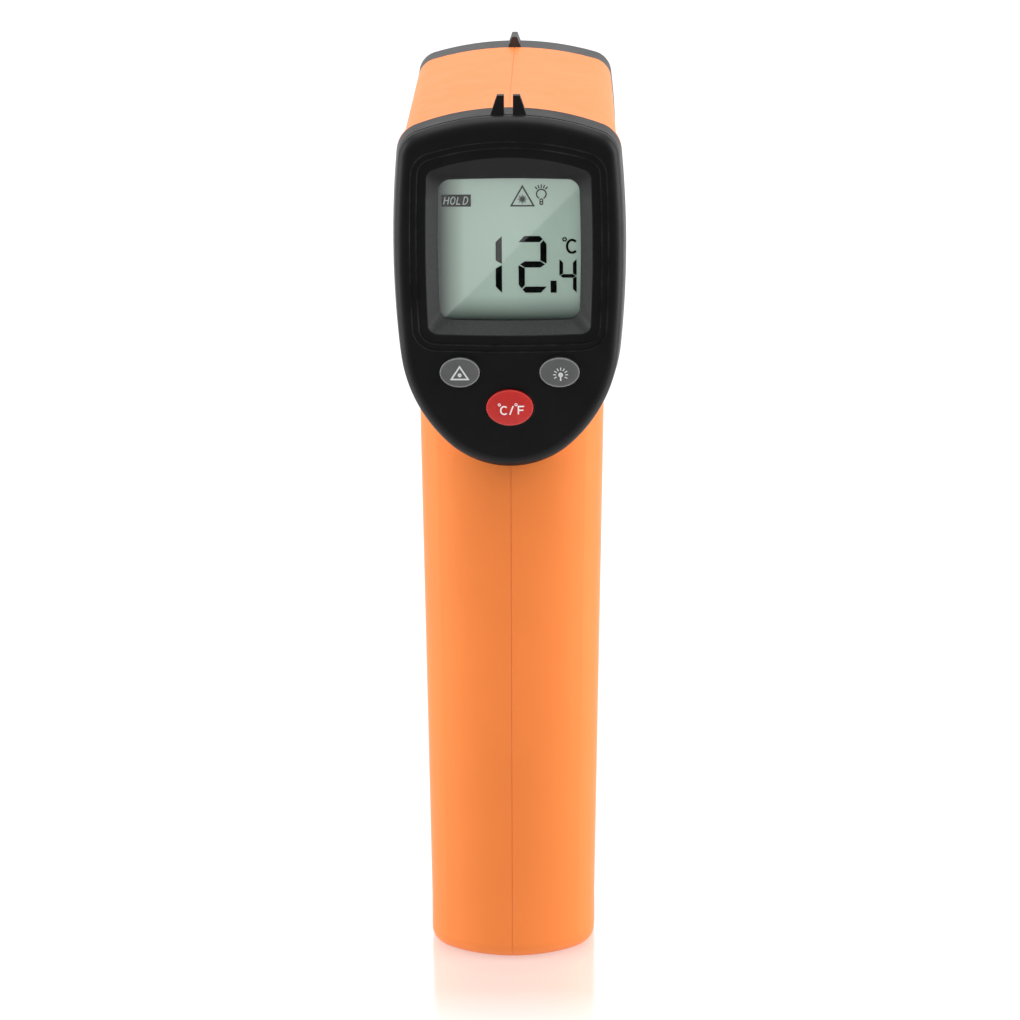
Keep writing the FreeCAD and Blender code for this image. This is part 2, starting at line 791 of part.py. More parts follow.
def make_main_board():
    body = new_body("board_form", HEAD)
    pad(body, oval(new_sketch(body, BOARD_BACK), "panel", "board_inset"), "board_thick")
    holes = [rod("board_hole", HEAD, "board_screw_radius + 0.15", "4", x, y, BOARD_BACK + " - 1") for x, y in POSTS]
    finish(cut("main_board", body, *holes), "main_board")
    screws = []
    for x, y in POSTS:
        shaft = rod("board_screw_shaft", HEAD, "board_screw_radius", "4.5", x, y, BOARD_BACK)
        head = rod("board_screw_top", HEAD, "board_screw_head", "0.9", x, y, BOARD_BACK + " - 0.9")
        slot = box("board_screw_slot", HEAD, "2.2", "0.5", "0.5", x, y, BOARD_BACK + " - 1")
        screws.append(cut("board_screw", fuse("board_screw_blank", shaft, head), slot))
    finish(group("board_screws", *screws), "board_screws")

    def on_back(label, wide, deep, tall, x, y):
        return box(label, HEAD, wide, deep, tall, x, y, "%s - (%s)" % (BOARD_BACK, tall))

    finish(on_back("controller_chip", "8", "8", "1.4", "0 - 6", "36"), "controller_chip")
    finish(on_back("amplifier_chip", "5", "4", "1.4", "8", "28"), "amplifier_chip")
    cans = [
        rod("capacitor", HEAD, "1.5", "3.2", x, y, BOARD_BACK + " - 3.2")
        for x, y in (("9", "38"), ("9", "43"), ("0 - 11", "24"))
    ]
    finish(group("capacitors", *cans), "capacitors")
    finish(rod("buzzer", HEAD, "4.2", "2.6", "0 - 8.5", "50", BOARD_BACK + " - 2.6"), "buzzer")


# ---------------------------------------------------------------- nose and optics

NOSE_BACK = "0 - bezel_deep - barrel_long"
NOSE_FRONT = NOSE_BACK + " - nose_long"
NOSE_WALL = NOSE_FRONT + " + nose_front_wall"


def make_nose():
    body = new_body("nose_form", HEAD)
    outline = oval(new_sketch(body, NOSE_BACK), "nose")
    drafted_pad(body, outline, "nose_long", "0 - nose_flare", reverse=True)
    tip = size(NOSE_FRONT) + 0.01
    round_edges(body, lambda bounds: bounds.ZMax < tip, "nose_rounding")
    spigot = oval(new_sketch(body, NOSE_BACK), "nose", "wall + nose_spigot_gap")
    pad(body, spigot, "nose_spigot_long")
    hollow = oval(
        new_sketch(body, NOSE_BACK + " + nose_spigot_long"), "nose",
        "wall + nose_spigot_gap + nose_spigot_wall",
    )
    pocket(body, hollow, "nose_spigot_long + nose_long - nose_front_wall")

    recess = bind(
        document.addObject("Part::Cone", "recess"), Height="nose_front_wall + 0.4",
        Radius1="recess_mouth_radius", Radius2="recess_floor_radius",
    )
    recess.Placement = at(HEAD, 0, size("lens_axis"), size(NOSE_FRONT + " - 0.2"))
    aperture = rod("aperture", HEAD, "laser_hole_radius", "12", "0", "laser_axis", NOSE_FRONT + " - 3")
    sight = wedge(
        "front_sight", ["0", "front_sight_base"],
        ["front_sight_base / 2 - front_sight_top / 2", "front_sight_base / 2 + front_sight_top / 2"],
        "0 - front_sight_base / 2", "nose_high - 1", "nose_high + front_sight_tall",
        NOSE_FRONT + " + 1.6", NOSE_BACK + " - 0.4",
    )
    finish(cut("nose_ring", fuse("nose_solid", body, sight), recess, aperture), "nose_ring")


def make_optics():
    tube = rod("tube_outside", HEAD, "tube_radius", "tube_long", "0", "lens_axis", NOSE_WALL)
    counterbore = rod(
        "tube_counterbore", HEAD, "lens_radius + optics_play", "lens_thick + retainer_thick",
        "0", "lens_axis", NOSE_WALL,
    )
    bore = rod("tube_bore_cut", HEAD, "tube_bore", "tube_long - tube_floor", "0", "lens_axis", NOSE_WALL)
    seat = rod("sensor_seat", HEAD, "sensor_radius + optics_play", "40", "0", "lens_axis", NOSE_WALL)
    finish(cut("optics_tube", tube, fuse("tube_cuts", counterbore, bore, seat)), "optics_tube")

    ring = rod("retainer_disc", HEAD, "lens_radius", "retainer_thick", "0", "lens_axis", NOSE_WALL)
    hole = rod("retainer_hole", HEAD, "recess_floor_radius", "4", "0", "lens_axis", NOSE_WALL + " - 1")
    finish(cut("lens_retainer", ring, hole), "lens_retainer")
    lens = rod("lens", HEAD, "lens_radius", "lens_thick", "0", "lens_axis", NOSE_WALL + " + retainer_thick")
    finish(lens, "lens")

    tube_back = NOSE_WALL + " + tube_long"
    can = rod("sensor_can", HEAD, "sensor_radius", "sensor_long", "0", "lens_axis", tube_back + " - 3 - sensor_long")
    leads = [
        rod("sensor_lead", HEAD, "0.25", "3.2", x, "lens_axis + " + y, tube_back + " - 3.2")
        for x in ("0 - 1.8", "1.8") for y in ("0 - 1.8", "1.8")
    ]
    finish(fuse("thermopile_sensor", can, *leads), "thermopile_sensor")
    board = rod("sensor_board", HEAD, "sensor_board_radius", "1.2", "0", "lens_axis", tube_back)
    finish(board, "sensor_board")

    holder_z = NOSE_WALL + " + 10"
    block = box("holder_bar", HEAD, "8", "8.3", "8", "0", "lens_axis + tube_radius + 4.3", holder_z)
    hole = rod("laser_seat", HEAD, "laser_radius + 0.05", "12", "0", "laser_axis", holder_z + " - 2")
    finish(cut("laser_holder", block, hole), "laser_holder")
    window = rod("laser_window", HEAD, "laser_radius - 0.3", "laser_window_thick", "0", "laser_axis", NOSE_WALL)
    finish(window, "laser_window")
    module_z = NOSE_WALL + " + laser_window_thick + 0.1"
    barrel = rod("laser_barrel", HEAD, "laser_radius", "laser_long", "0", "laser_axis", module_z)
    driver = box("laser_driver", HEAD, "1", "4", "5", "0", "laser_axis", module_z + " + laser_long - 1")
    finish(fuse("laser_module", barrel, driver), "laser_module")


# ---------------------------------------------------------------- batteries and their door

def make_battery_bay():
    tall = "cell_long + 4.3"
    low = "cell_foot - 3"
    outside = box("tray_block", GRIP, "tray_wide", "tray_deep", tall, "0", "0", low)
    inside = box(
        "tray_room", GRIP, "tray_wide - 2 * tray_wall", "tray_deep", tall + " - 2 * tray_wall",
        "0", "tray_wall", low + " + tray_wall",
    )
    finish(cut("battery_tray", outside, inside), "battery_tray")
    ends = [("battery_cell_left", "0 - cell_pitch / 2", False), ("battery_cell_right", "cell_pitch / 2", True)]
    for label, x, flipped in ends:
        can_z = "cell_foot + cell_nub_tall - 0.1" if flipped else "cell_foot"
        nub_z = "cell_foot" if flipped else "cell_foot + cell_long - cell_nub_tall"
        can_long = "cell_long - cell_nub_tall + 0.1"
        can = rod(label + "_can", GRIP, "cell_radius", can_long, x, "cell_forward", can_z)
        nub = rod(label + "_nub", GRIP, "cell_nub_radius", "cell_nub_tall", x, "cell_forward", nub_z)
        finish(fuse(label, can, nub), label)
    bridge = box(
        "contact_bridge", GRIP, "19", "7", "bridge_thick", "0", "cell_forward", "cell_foot + cell_long",
    )
    finish(bridge, "contact_bridge")
    coils = [
        coil("contact_coil", at(GRIP, size(x), size("cell_forward"), size("cell_foot - 1.75")))
        for x in ("0 - cell_pitch / 2", "cell_pitch / 2")
    ]
    finish(group("contact_springs", *coils), "contact_springs")


def coil(name, frame):
    """A helical spring of round wire along its frame's z."""
    radius = size(name + "_radius")
    helix = Part.makeHelix(size(name + "_pitch"), size(name + "_tall"), radius)
    start = Part.Circle(Vector(radius, 0, 0), Vector(0, 1, 0), size("spring_wire"))
    section = Part.Wire(start.toShape())
    solid = Part.Wire(helix).makePipeShell([section], True, True)
    feature = document.addObject("Part::Feature", name)
    feature.Shape = solid
    feature.Placement = frame
    return feature


def make_battery_door(walls):
    gap = "door_gap"
    panel = box(
        "door_panel", GRIP, "door_wide - 2 * door_gap", "20", "door_head - hinge_height - " + gap,
        "0", "door_depth + 10", "hinge_height",
    )
    rolled = hinge_bar("door_roll", "hinge_round", "door_wide - 2 * door_gap")
    skin = common("door_skin", walls, fuse("door_reach", panel, rolled))
    slots = [
        hinge_bar("ear_slot", "hinge_round + 0.3", "cheek_wide + 2 * door_gap", x + " - door_gap") for x in CHEEKS
    ]
    knuckle = hinge_bar("knuckle", "knuckle_radius", "knuckle_wide")
    trunnions = hinge_bar("trunnions", "trunnion_radius", "knuckle_wide + 2 * trunnion_long")
    web = box("knuckle_web", GRIP, "knuckle_wide", "1.6", "3.2", "0", "hinge_forward - 0.5", "hinge_height")
    ridges = [
        cross_rod("ridge", "0.7", "12", "door_ridge_forward", "door_head - %s" % drop, frame=GRIP)
        for drop in ("4", "6", "8")
    ]
    plate = cut("door_plate", skin, *slots)
    finish(fuse("battery_door", plate, knuckle, trunnions, web, *ridges), "battery_door")


# ---------------------------------------------------------------- trigger

TRIGGER_OUTLINE = [
    ("0 - 3.0", "2.6"), ("3.2", "2.6"), ("7.6", "0 - 3.6"), ("1.8", "0 - 29.2"),
    ("0 - 1.0", "0 - 31.6"), ("0 - 7.6", "0 - 31.2"), ("0 - 3.4", "0 - 8"),
]
FINGER_HOLLOW = ("2.6", "0 - 17")


def make_trigger():
    body = new_body("trigger_form")
    sketch = new_sketch(body, "0 - trigger_wide / 2", role="YZ_Plane")
    corners = [
        Vector(size("pivot_forward + " + y), size("pivot_height + " + z), 0) for y, z in TRIGGER_OUTLINE
    ]
    hollow = Vector(size("pivot_forward + " + FINGER_HOLLOW[0]), size("pivot_height + " + FINGER_HOLLOW[1]), 0)
    for step, start in enumerate(corners):
        end = corners[(step + 1) % len(corners)]
        side = Part.Arc(start, hollow, end) if step == 2 else Part.LineSegment(start, end)
        sketch.addGeometry(side, False)
    constrain(sketch, "Block", 2)
    for step, (y, z) in enumerate(TRIGGER_OUTLINE):
        if step in (2, 3):
            continue
        constrain(sketch, "DistanceX", -1, 1, step, 1, formula="pivot_forward + " + y)
        constrain(sketch, "DistanceY", -1, 1, step, 1, formula="pivot_height + " + z)
    pad(body, sketch, "trigger_wide")
    document.recompute()
    middle = size("pivot_height - 34")
    long_enough = size("trigger_wide - 0.01")
    round_edges(
        body, lambda bounds: bounds.XLength > long_enough and bounds.ZMin > middle, "trigger_edge_radius",
    )
    pusher = rod("pusher", WORLD, "1.8", "4", "0", "pivot_forward - 6.4", "95", Rotation(Vector(1, 0, 0), -90))
    bore = cross_rod("trigger_bore", "pivot_radius + 0.05", "40", "pivot_forward", "pivot_height")
    finish(cut("trigger", fuse("trigger_solid", body, pusher), bore), "trigger")
    finish(cross_rod("trigger_pin", "pivot_radius", "22", "pivot_forward", "pivot_height"), "trigger_pin")

    board_middle = "trigger_board_back + trigger_board_thick / 2"
    board = box("trigger_board", WORLD, "16", "trigger_board_thick", "25", "0", board_middle, "76")
    finish(board, "trigger_board")
    forward = Rotation(Vector(1, 0, 0), -90)
    face = "trigger_board_back + trigger_board_thick"
    block = box("trigger_switch_block", WORLD, "6", "3.6", "6", "0", face + " + 1.8", "92")
    tip = rod("trigger_switch_tip", WORLD, "1.6", "3.5", "0", face + " + 2.8", "95", forward)
    finish(fuse("trigger_switch", block, tip), "trigger_switch")
    spring_frame = at(WORLD, 0, size(face + " + 0.5"), size("84"), forward)
    finish(coil("trigger_spring", spring_frame), "trigger_spring")


# ---------------------------------------------------------------- wires

def rounded_path(points):
    """Straight runs joined by arcs that touch them."""
    edges = []
    start = points[0]
    for before, corner, after in zip(points, points[1:], points[2:]):
        into = corner - before
        out = after - corner
        turn = into.getAngle(out)
        reach = 0.45 * min(into.Length, out.Length)
        radius = reach / math.tan(turn / 2)
        first = corner - Vector(into).normalize() * reach
        last = corner + Vector(out).normalize() * reach
        inwards = (Vector(out).normalize() - Vector(into).normalize()).normalize()
        middle = corner + inwards * (radius / math.cos(turn / 2) - radius)
        edges.append(Part.LineSegment(start, first).toShape())
        edges.append(Part.Arc(first, middle, last).toShape())
        start = last
    edges.append(Part.LineSegment(start, points[-1]).toShape())
    return Part.Wire(edges)


def wire(label, *routes):
    tubes = []
    for route in routes:
        path = rounded_path(route)
        normal = route[1] - route[0]
        section = Part.Wire(Part.Circle(route[0], normal, size("wire_radius")).toShape())
        tube = document.addObject("Part::Feature", label + "_tube")
        tube.Shape = path.makePipeShell([section], True, False)
        tubes.append(tube)
    piece = group(label, *tubes) if len(tubes) > 1 else tubes[0]
    finish(piece, label)


def in_head(x, y, z):
    return HEAD.multVec(Vector(x, y, z))


def in_grip(x, y, z):
    return GRIP.multVec(Vector(x, y, z))


def make_wires():
    board = size(BOARD_BACK)
    tray_top = size("cell_foot + cell_long + 1.3")
    for label, x in (("battery_wire_red", 5.0), ("battery_wire_black", -5.0)):
        wire(label, [
            in_grip(x, -3, tray_top), in_grip(x, -3, tray_top + 6), in_grip(x, -7.5, tray_top + 16),
            in_grip(x, -7.5, tray_top + 28), in_head(x, 9, board - 9), in_head(x, 15, board - 6),
            in_head(x, 15, board),
        ])
    tube_back = size(NOSE_WALL + " + tube_long + 1.2")
    wire("sensor_wires", *[
        [in_head(x, 38, tube_back), in_head(x, 38, tube_back + 8), in_head(x, 34, tube_back + 22),
         in_head(x, 31, board - 6), in_head(x, 31, board)]
        for x in (-0.8, 1.0, 2.8)
    ])
    laser_back = size(NOSE_WALL + " + laser_window_thick + 0.1 + laser_long + 4")
    laser_axis = size("laser_axis")
    wire("laser_wires", *[
        [in_head(x, laser_axis, laser_back), in_head(x, laser_axis, laser_back + 6),
         in_head(x * 2, 58, laser_back + 24), in_head(x * 2, 54.5, board - 8), in_head(x * 2, 54.5, board)]
        for x in (-1.3, 1.3)
    ])
    back = size("trigger_board_back")
    wire("trigger_wires", *[
        [Vector(x, back, 90), Vector(x, back - 5, 90), Vector(x, back - 9, 98), in_head(x, 20, board - 5),
         in_head(x, 20, board)]
        for x in (-1.3, 1.3)
    ])


outer_form = make_outer_form()
walls_form = make_walls(outer_form)
make_housings(outer_form, walls_form)
make_screws()
make_bezel()
make_buttons()
make_display()
make_main_board()
make_nose()
make_optics()
make_battery_bay()
make_battery_door(walls_form)
make_trigger()
make_wires()

# ---------------------------------------------------------------- write

document.recompute()


def write():
    os.makedirs("parts", exist_ok=True)
    for item in document.Objects:
        if "Invalid" in item.State or "Error" in item.State:
            raise RuntimeError("%s did not compute: %s" % (item.Label, item.State))
    for piece in finished:
        if piece.Shape.isNull() or not piece.Shape.isValid():
            raise RuntimeError("%s has no valid shape" % piece.Label)
    for piece in finished:
        piece.Shape.exportStep("parts/%s.step" % piece.Label)
        print("%-24s %10.1f mm3 %3d" % (piece.Label, piece.Shape.Volume, len(piece.Shape.Solids)))


write()
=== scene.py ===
"""Looks of a pistol-grip infrared thermometer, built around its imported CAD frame.

Everything is in metres in the frame of the CAD model: +Z up, the display faces -Y.
Drawn figures (display segments, button signs) are laid out in millimetres on the
face that carries them: x to the user's right, y up along the face.
"""
import json
import math
import bmesh
import bpy
from mathutils import Matrix, Vector


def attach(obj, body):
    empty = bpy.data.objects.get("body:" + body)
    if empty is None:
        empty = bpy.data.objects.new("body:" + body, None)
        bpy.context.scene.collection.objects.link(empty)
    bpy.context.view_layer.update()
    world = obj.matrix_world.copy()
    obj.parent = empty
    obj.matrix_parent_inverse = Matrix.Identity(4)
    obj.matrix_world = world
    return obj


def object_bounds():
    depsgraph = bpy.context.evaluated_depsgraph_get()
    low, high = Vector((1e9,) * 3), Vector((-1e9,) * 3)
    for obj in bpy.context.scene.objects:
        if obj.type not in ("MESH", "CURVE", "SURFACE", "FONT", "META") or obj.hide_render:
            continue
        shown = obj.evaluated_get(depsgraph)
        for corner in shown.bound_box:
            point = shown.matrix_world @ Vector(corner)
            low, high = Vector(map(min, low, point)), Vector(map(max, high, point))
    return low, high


MM = 0.001
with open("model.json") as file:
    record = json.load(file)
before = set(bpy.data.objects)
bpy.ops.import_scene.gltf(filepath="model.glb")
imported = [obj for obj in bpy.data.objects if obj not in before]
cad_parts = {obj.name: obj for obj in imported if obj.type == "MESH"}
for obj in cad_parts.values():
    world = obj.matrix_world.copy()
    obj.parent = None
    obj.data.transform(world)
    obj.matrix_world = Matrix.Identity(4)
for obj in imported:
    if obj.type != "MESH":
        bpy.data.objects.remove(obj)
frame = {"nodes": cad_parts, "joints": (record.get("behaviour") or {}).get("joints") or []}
cad_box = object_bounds()
nodes = frame["nodes"]
joints = {joint["name"]: joint for joint in frame["joints"]}
scene = bpy.context.scene

# The head's own axes: its buttons travel straight into it.
ACROSS = Vector((1, 0, 0))
OUT = -Vector(joints["unit_button_press"]["axis"]).normalized()
UP = OUT.cross(ACROSS).normalized()


def reach(node, direction):
    """How far a node goes along a direction: its lowest and highest place, in metres."""
    places = [vertex.co.dot(direction) for vertex in nodes[node].data.vertices]
    return min(places), max(places)


def middle(node, direction):
    """The place halfway along a node, in metres."""
    low, high = reach(node, direction)
    return (low + high) / 2


def head_point(x, up, out):
    """The point with these places along the head's axes, in metres."""
    return ACROSS * x + UP * up + OUT * out


# ---------------------------------------------------------------- camera and stage

VIEW_AZIMUTH = math.radians(1.08)
VIEW_ELEVATION = math.radians(18.72)
VIEW_ROLL = math.radians(-0.44)
VIEW_DISTANCE = 0.8
VIEW_TARGET = Vector((-0.00018, 0.005, 0.08137))
LENS_MM = 154.4


def make_camera():
    lens = bpy.data.cameras.new("camera")
    lens.lens = LENS_MM
    lens.clip_start = 0.01
    camera = bpy.data.objects.new("camera", lens)
    back = Vector((
        math.sin(VIEW_AZIMUTH) * math.cos(VIEW_ELEVATION),
        -math.cos(VIEW_AZIMUTH) * math.cos(VIEW_ELEVATION),
        math.sin(VIEW_ELEVATION),
    ))
    turn = back.to_track_quat("Z", "Y").to_matrix().to_4x4()
    roll = Matrix.Rotation(VIEW_ROLL, 4, "Z")
    camera.matrix_world = Matrix.Translation(VIEW_TARGET + back * VIEW_DISTANCE) @ turn @ roll
    scene.collection.objects.link(camera)
    scene.camera = camera
    bpy.context.view_layer.update()
    return camera


# ---------------------------------------------------------------- material building

def tone(red, green, blue):
    """A display colour, 0 to 255 a channel, as the linear colour that shaders take."""
    def linear(channel):
        share = channel / 255
        return share / 12.92 if share <= 0.04045 else ((share + 0.055) / 1.055) ** 2.4

    return (linear(red), linear(green), linear(blue), 1.0)


def darker(colour, share):
    return tuple(channel * share for channel in colour[:3]) + (1.0,)


def add(tree, kind, sockets=None, **settings):
    """A shader node with its settings and inputs; an input is a value or another node's output."""
    node = tree.nodes.new("ShaderNode" + kind)
    for name, value in settings.items():
        setattr(node, name, value)
    for socket, value in (sockets or {}).items():
        if isinstance(value, bpy.types.NodeSocket):
            tree.links.new(value, node.inputs[socket])
        else:
            node.inputs[socket].default_value = value
    return node


def new_material(name, colour, roughness, **sockets):
    material = bpy.data.materials.new(name)
    material.use_nodes = True
    core = material.node_tree.nodes["Principled BSDF"]
    core.inputs["Base Color"].default_value = colour
    core.inputs["Roughness"].default_value = roughness
    for socket, value in sockets.items():
        core.inputs[socket.replace("_", " ")].default_value = value
    return material, material.node_tree, core


def millimetres(tree):
    """Object coordinates in millimetres."""
    place = add(tree, "TexCoord").outputs["Object"]
    return add(tree, "VectorMath", {0: place, "Scale": 1 / MM}, operation="SCALE").outputs["Vector"]


def noise(tree, where, grain, detail=3.0, rough=0.5):
    """Noise whose features are about grain millimetres wide."""
    sockets = {"Vector": where, "Scale": 1 / grain, "Detail": detail, "Roughness": rough}
    return add(tree, "TexNoise", sockets).outputs["Fac"]


def spread(tree, value, low, high, to_low=0.0, to_high=1.0):
    sockets = {0: value, 1: low, 2: high, 3: to_low, 4: to_high}
    return add(tree, "MapRange", sockets).outputs[0]


def mixed(tree, share, first, second, blend="MIX"):
    sockets = {0: share, 6: first, 7: second}
    return add(tree, "Mix", sockets, data_type="RGBA", blend_type=blend).outputs[2]


def maths(tree, operation, first, second=0.0):
    return add(tree, "Math", {0: first, 1: second}, operation=operation).outputs[0]


# How alike a bevelled normal and the true one are where the lighter edges start, and where they are full:
# edge wear and painted edge highlight.
EDGE_MASK_STARTS = 0.97
EDGE_MASK_FULL = 0.80


def worn_and_highlit_edges(tree, width):
    """1 along sharp edges and 0 on open faces: how far a bevelled normal turns from the true one."""
    soft = add(tree, "Bevel", {"Radius": width * MM}, samples=4).outputs["Normal"]
    true = add(tree, "NewGeometry").outputs["True Normal"]
    alike = add(tree, "VectorMath", {0: soft, 1: true}, operation="DOT_PRODUCT").outputs["Value"]
    return spread(tree, alike, EDGE_MASK_STARTS, EDGE_MASK_FULL)


def raise_bump(tree, core, height, deep):
    """Relief of deep millimetres from a height of 0 to 1."""
    bump = add(tree, "Bump", {"Height": height, "Distance": deep * MM, "Strength": 1.0})
    tree.links.new(bump.outputs["Normal"], core.inputs["Normal"])


# The plastics' slow colour drift and handling patches are this wide, in millimetres.
DRIFT_WIDE = 24
PATCH_WIDE = 6
# How far towards white the lighter edges go: partly handling wear, partly a painted highlight.
RUBBED_AND_HIGHLIT_WHITE = 0.25


def moulded(
    name, colour, roughness, grain=0.35, relief=0.012, drift=0.06, wear=0.25, width=0.35, **sockets,
):
    """Moulded plastic: spark-eroded grain, slow colour drift and lighter edges, partly handling wear and
    partly a painted highlight.
    """
    material, tree, core = new_material(name, colour, roughness, **sockets)
    where = millimetres(tree)
    slow = noise(tree, where, DRIFT_WIDE, detail=2)
    fine = noise(tree, where, grain, detail=4, rough=0.6)
    patches = noise(tree, where, PATCH_WIDE, detail=5, rough=0.6)
    base = mixed(tree, spread(tree, slow, 0.3, 0.7), darker(colour, 1 - drift), darker(colour, 1 + drift))
    # Lighter edges: partly handling wear, partly a painted highlight along edges and seams.
    rubbed_and_highlit = tuple((1 - RUBBED_AND_HIGHLIT_WHITE) * channel + RUBBED_AND_HIGHLIT_WHITE for channel in colour[:3]) + (1.0,)
    edge = maths(tree, "MULTIPLY", worn_and_highlit_edges(tree, width), spread(tree, patches, 0.35, 0.75, 0, wear))
    tree.links.new(mixed(tree, edge, base, rubbed_and_highlit), core.inputs["Base Color"])
    gloss = spread(tree, patches, 0.25, 0.75, roughness - 0.04, roughness + 0.05)
    tree.links.new(gloss, core.inputs["Roughness"])
    raise_bump(tree, core, fine, relief)
    return material


DRAWN_STRETCH = (1.0, 1.0, 0.08)
DRAWN_WIDE = 0.08
STAIN_WIDE = 1.6


def metal(name, colour, roughness, brushed=0.05, wear=0.15):
    """Plated or drawn metal with fine drawing lines and small stains."""
    material, tree, core = new_material(name, colour, roughness, Metallic=1.0)
    where = millimetres(tree)
    lines = add(tree, "VectorMath", {0: where, 1: DRAWN_STRETCH}, operation="MULTIPLY").outputs["Vector"]
    drawn = noise(tree, lines, DRAWN_WIDE, detail=2)
    stains = noise(tree, where, STAIN_WIDE, detail=4)
    dull = darker(colour, 1 - wear)
    tree.links.new(mixed(tree, spread(tree, stains, 0.4, 0.7), colour, dull), core.inputs["Base Color"])
    gloss = spread(tree, drawn, 0.2, 0.8, roughness - brushed, roughness + brushed)
    tree.links.new(gloss, core.inputs["Roughness"])
    raise_bump(tree, core, drawn, 0.002)
    return material


# How wide the painted highlight along a silicone button's rim is, in millimetres, and how strongly it
# shows.
RIM_HIGHLIGHT_WIDE = 0.55
RIM_HIGHLIGHT_SHARE = 0.85


def rubber(name, colour, roughness, painted_rim_highlight):
    """Moulded silicone: faintly translucent, with a painted highlight in a lighter colour along its rim."""
    material, tree, core = new_material(
        name, colour, roughness, Subsurface_Weight=0.12, Subsurface_Scale=0.0006, Coat_Weight=0.12,
        Coat_Roughness=0.25,
    )
    where = millimetres(tree)
    cloud = noise(tree, where, 2.2, detail=3)
    fine = noise(tree, where, 0.12, detail=3)
    base = mixed(tree, spread(tree, cloud, 0.3, 0.7), darker(colour, 0.93), darker(colour, 1.06))
    edge = maths(tree, "MULTIPLY", worn_and_highlit_edges(tree, RIM_HIGHLIGHT_WIDE), RIM_HIGHLIGHT_SHARE)
    tree.links.new(mixed(tree, edge, base, painted_rim_highlight), core.inputs["Base Color"])
    raise_bump(tree, core, fine, 0.004)
    return material


def circuit_board(name):
    """Green solder mask over copper tracks, with tinned pads on a grid."""
    mask = tone(18, 92, 52)
    track = tone(44, 128, 72)
    tinned = tone(196, 190, 170)
    material, tree, core = new_material(name, mask, 0.32, Coat_Weight=0.3)
    where = millimetres(tree)
    weave = add(tree, "TexBrick", {
        "Vector": where, "Scale": 0.8, "Mortar Size": 0.06, "Color1": mask, "Color2": darker(mask, 0.85),
        "Mortar": track, "Brick Width": 1.7, "Row Height": 0.9,
    }, offset=0.37)
    dots = add(tree, "TexVoronoi", {"Vector": where, "Scale": 0.45, "Randomness": 0.35}).outputs["Distance"]
    pads = spread(tree, dots, 0.16, 0.14)
    tree.links.new(mixed(tree, pads, weave.outputs["Color"], tinned), core.inputs["Base Color"])
    tree.links.new(spread(tree, pads, 0, 1, 0, 0.9), core.inputs["Metallic"])
    raise_bump(tree, core, weave.outputs["Fac"], 0.02)
    return material


def printed_chip(name, colour):
    """Moulded epoxy package, matt and faintly clouded."""
    material, tree, core = new_material(name, colour, 0.55)
    where = millimetres(tree)
    fine = noise(tree, where, 0.1, detail=4)
    cloud = noise(tree, where, 1.2, detail=2)
    tree.links.new(mixed(tree, cloud, darker(colour, 0.8), darker(colour, 1.3)), core.inputs["Base Color"])
    raise_bump(tree, core, fine, 0.008)
    return material


BAND_SOFT = 0.05


def banded(name, colours, axis, edges, roughness):
    """Bands of colour across an axis of the frame; edges are the places where they change."""
    material, tree, core = new_material(name, colours[0], roughness, Coat_Weight=0.5, Coat_Roughness=0.08)
    where = millimetres(tree)
    along = add(tree, "VectorMath", {0: where, 1: tuple(axis)}, operation="DOT_PRODUCT").outputs["Value"]
    colour = colours[0]
    for edge, following in zip(edges, colours[1:]):
        share = spread(tree, along, edge / MM - BAND_SOFT, edge / MM + BAND_SOFT)
        colour = mixed(tree, share, colour, following)
    scuff = noise(tree, where, 1.5, detail=6, rough=0.7)
    worn = mixed(tree, spread(tree, scuff, 0.62, 0.75, 0, 0.25), colour, tone(190, 190, 190))
    tree.links.new(worn, core.inputs["Base Color"])
    tree.links.new(spread(tree, scuff, 0.3, 0.7, roughness, roughness + 0.15), core.inputs["Roughness"])
    return material


def head_space(tree):
    """Coordinates along the head's axes in millimetres: x across, y up the face, z out of it."""
    where = millimetres(tree)
    parts = {}
    for name, axis in (("X", ACROSS), ("Y", UP), ("Z", OUT)):
        along = add(tree, "VectorMath", {0: where, 1: tuple(axis)}, operation="DOT_PRODUCT")
        parts[name] = along.outputs["Value"]
    return parts


# The display. Its painted shades run in millimetres from its left edge and from its lower edge.
WINDOW_HALF_TALL = 13.0
WINDOW_HALF_WIDE = 12.85
BACKLIGHT = 0.235
DISPLAY_LIT = tone(175, 193, 182)
DISPLAY_SHADED = tone(58, 67, 62)
LEFT_SHADE = (0.4, 4.9)
LEFT_SHADE_POWER = 1.1
FOOT_SHADE = 4.6
FOOT_SHADE_POWER = 1.3


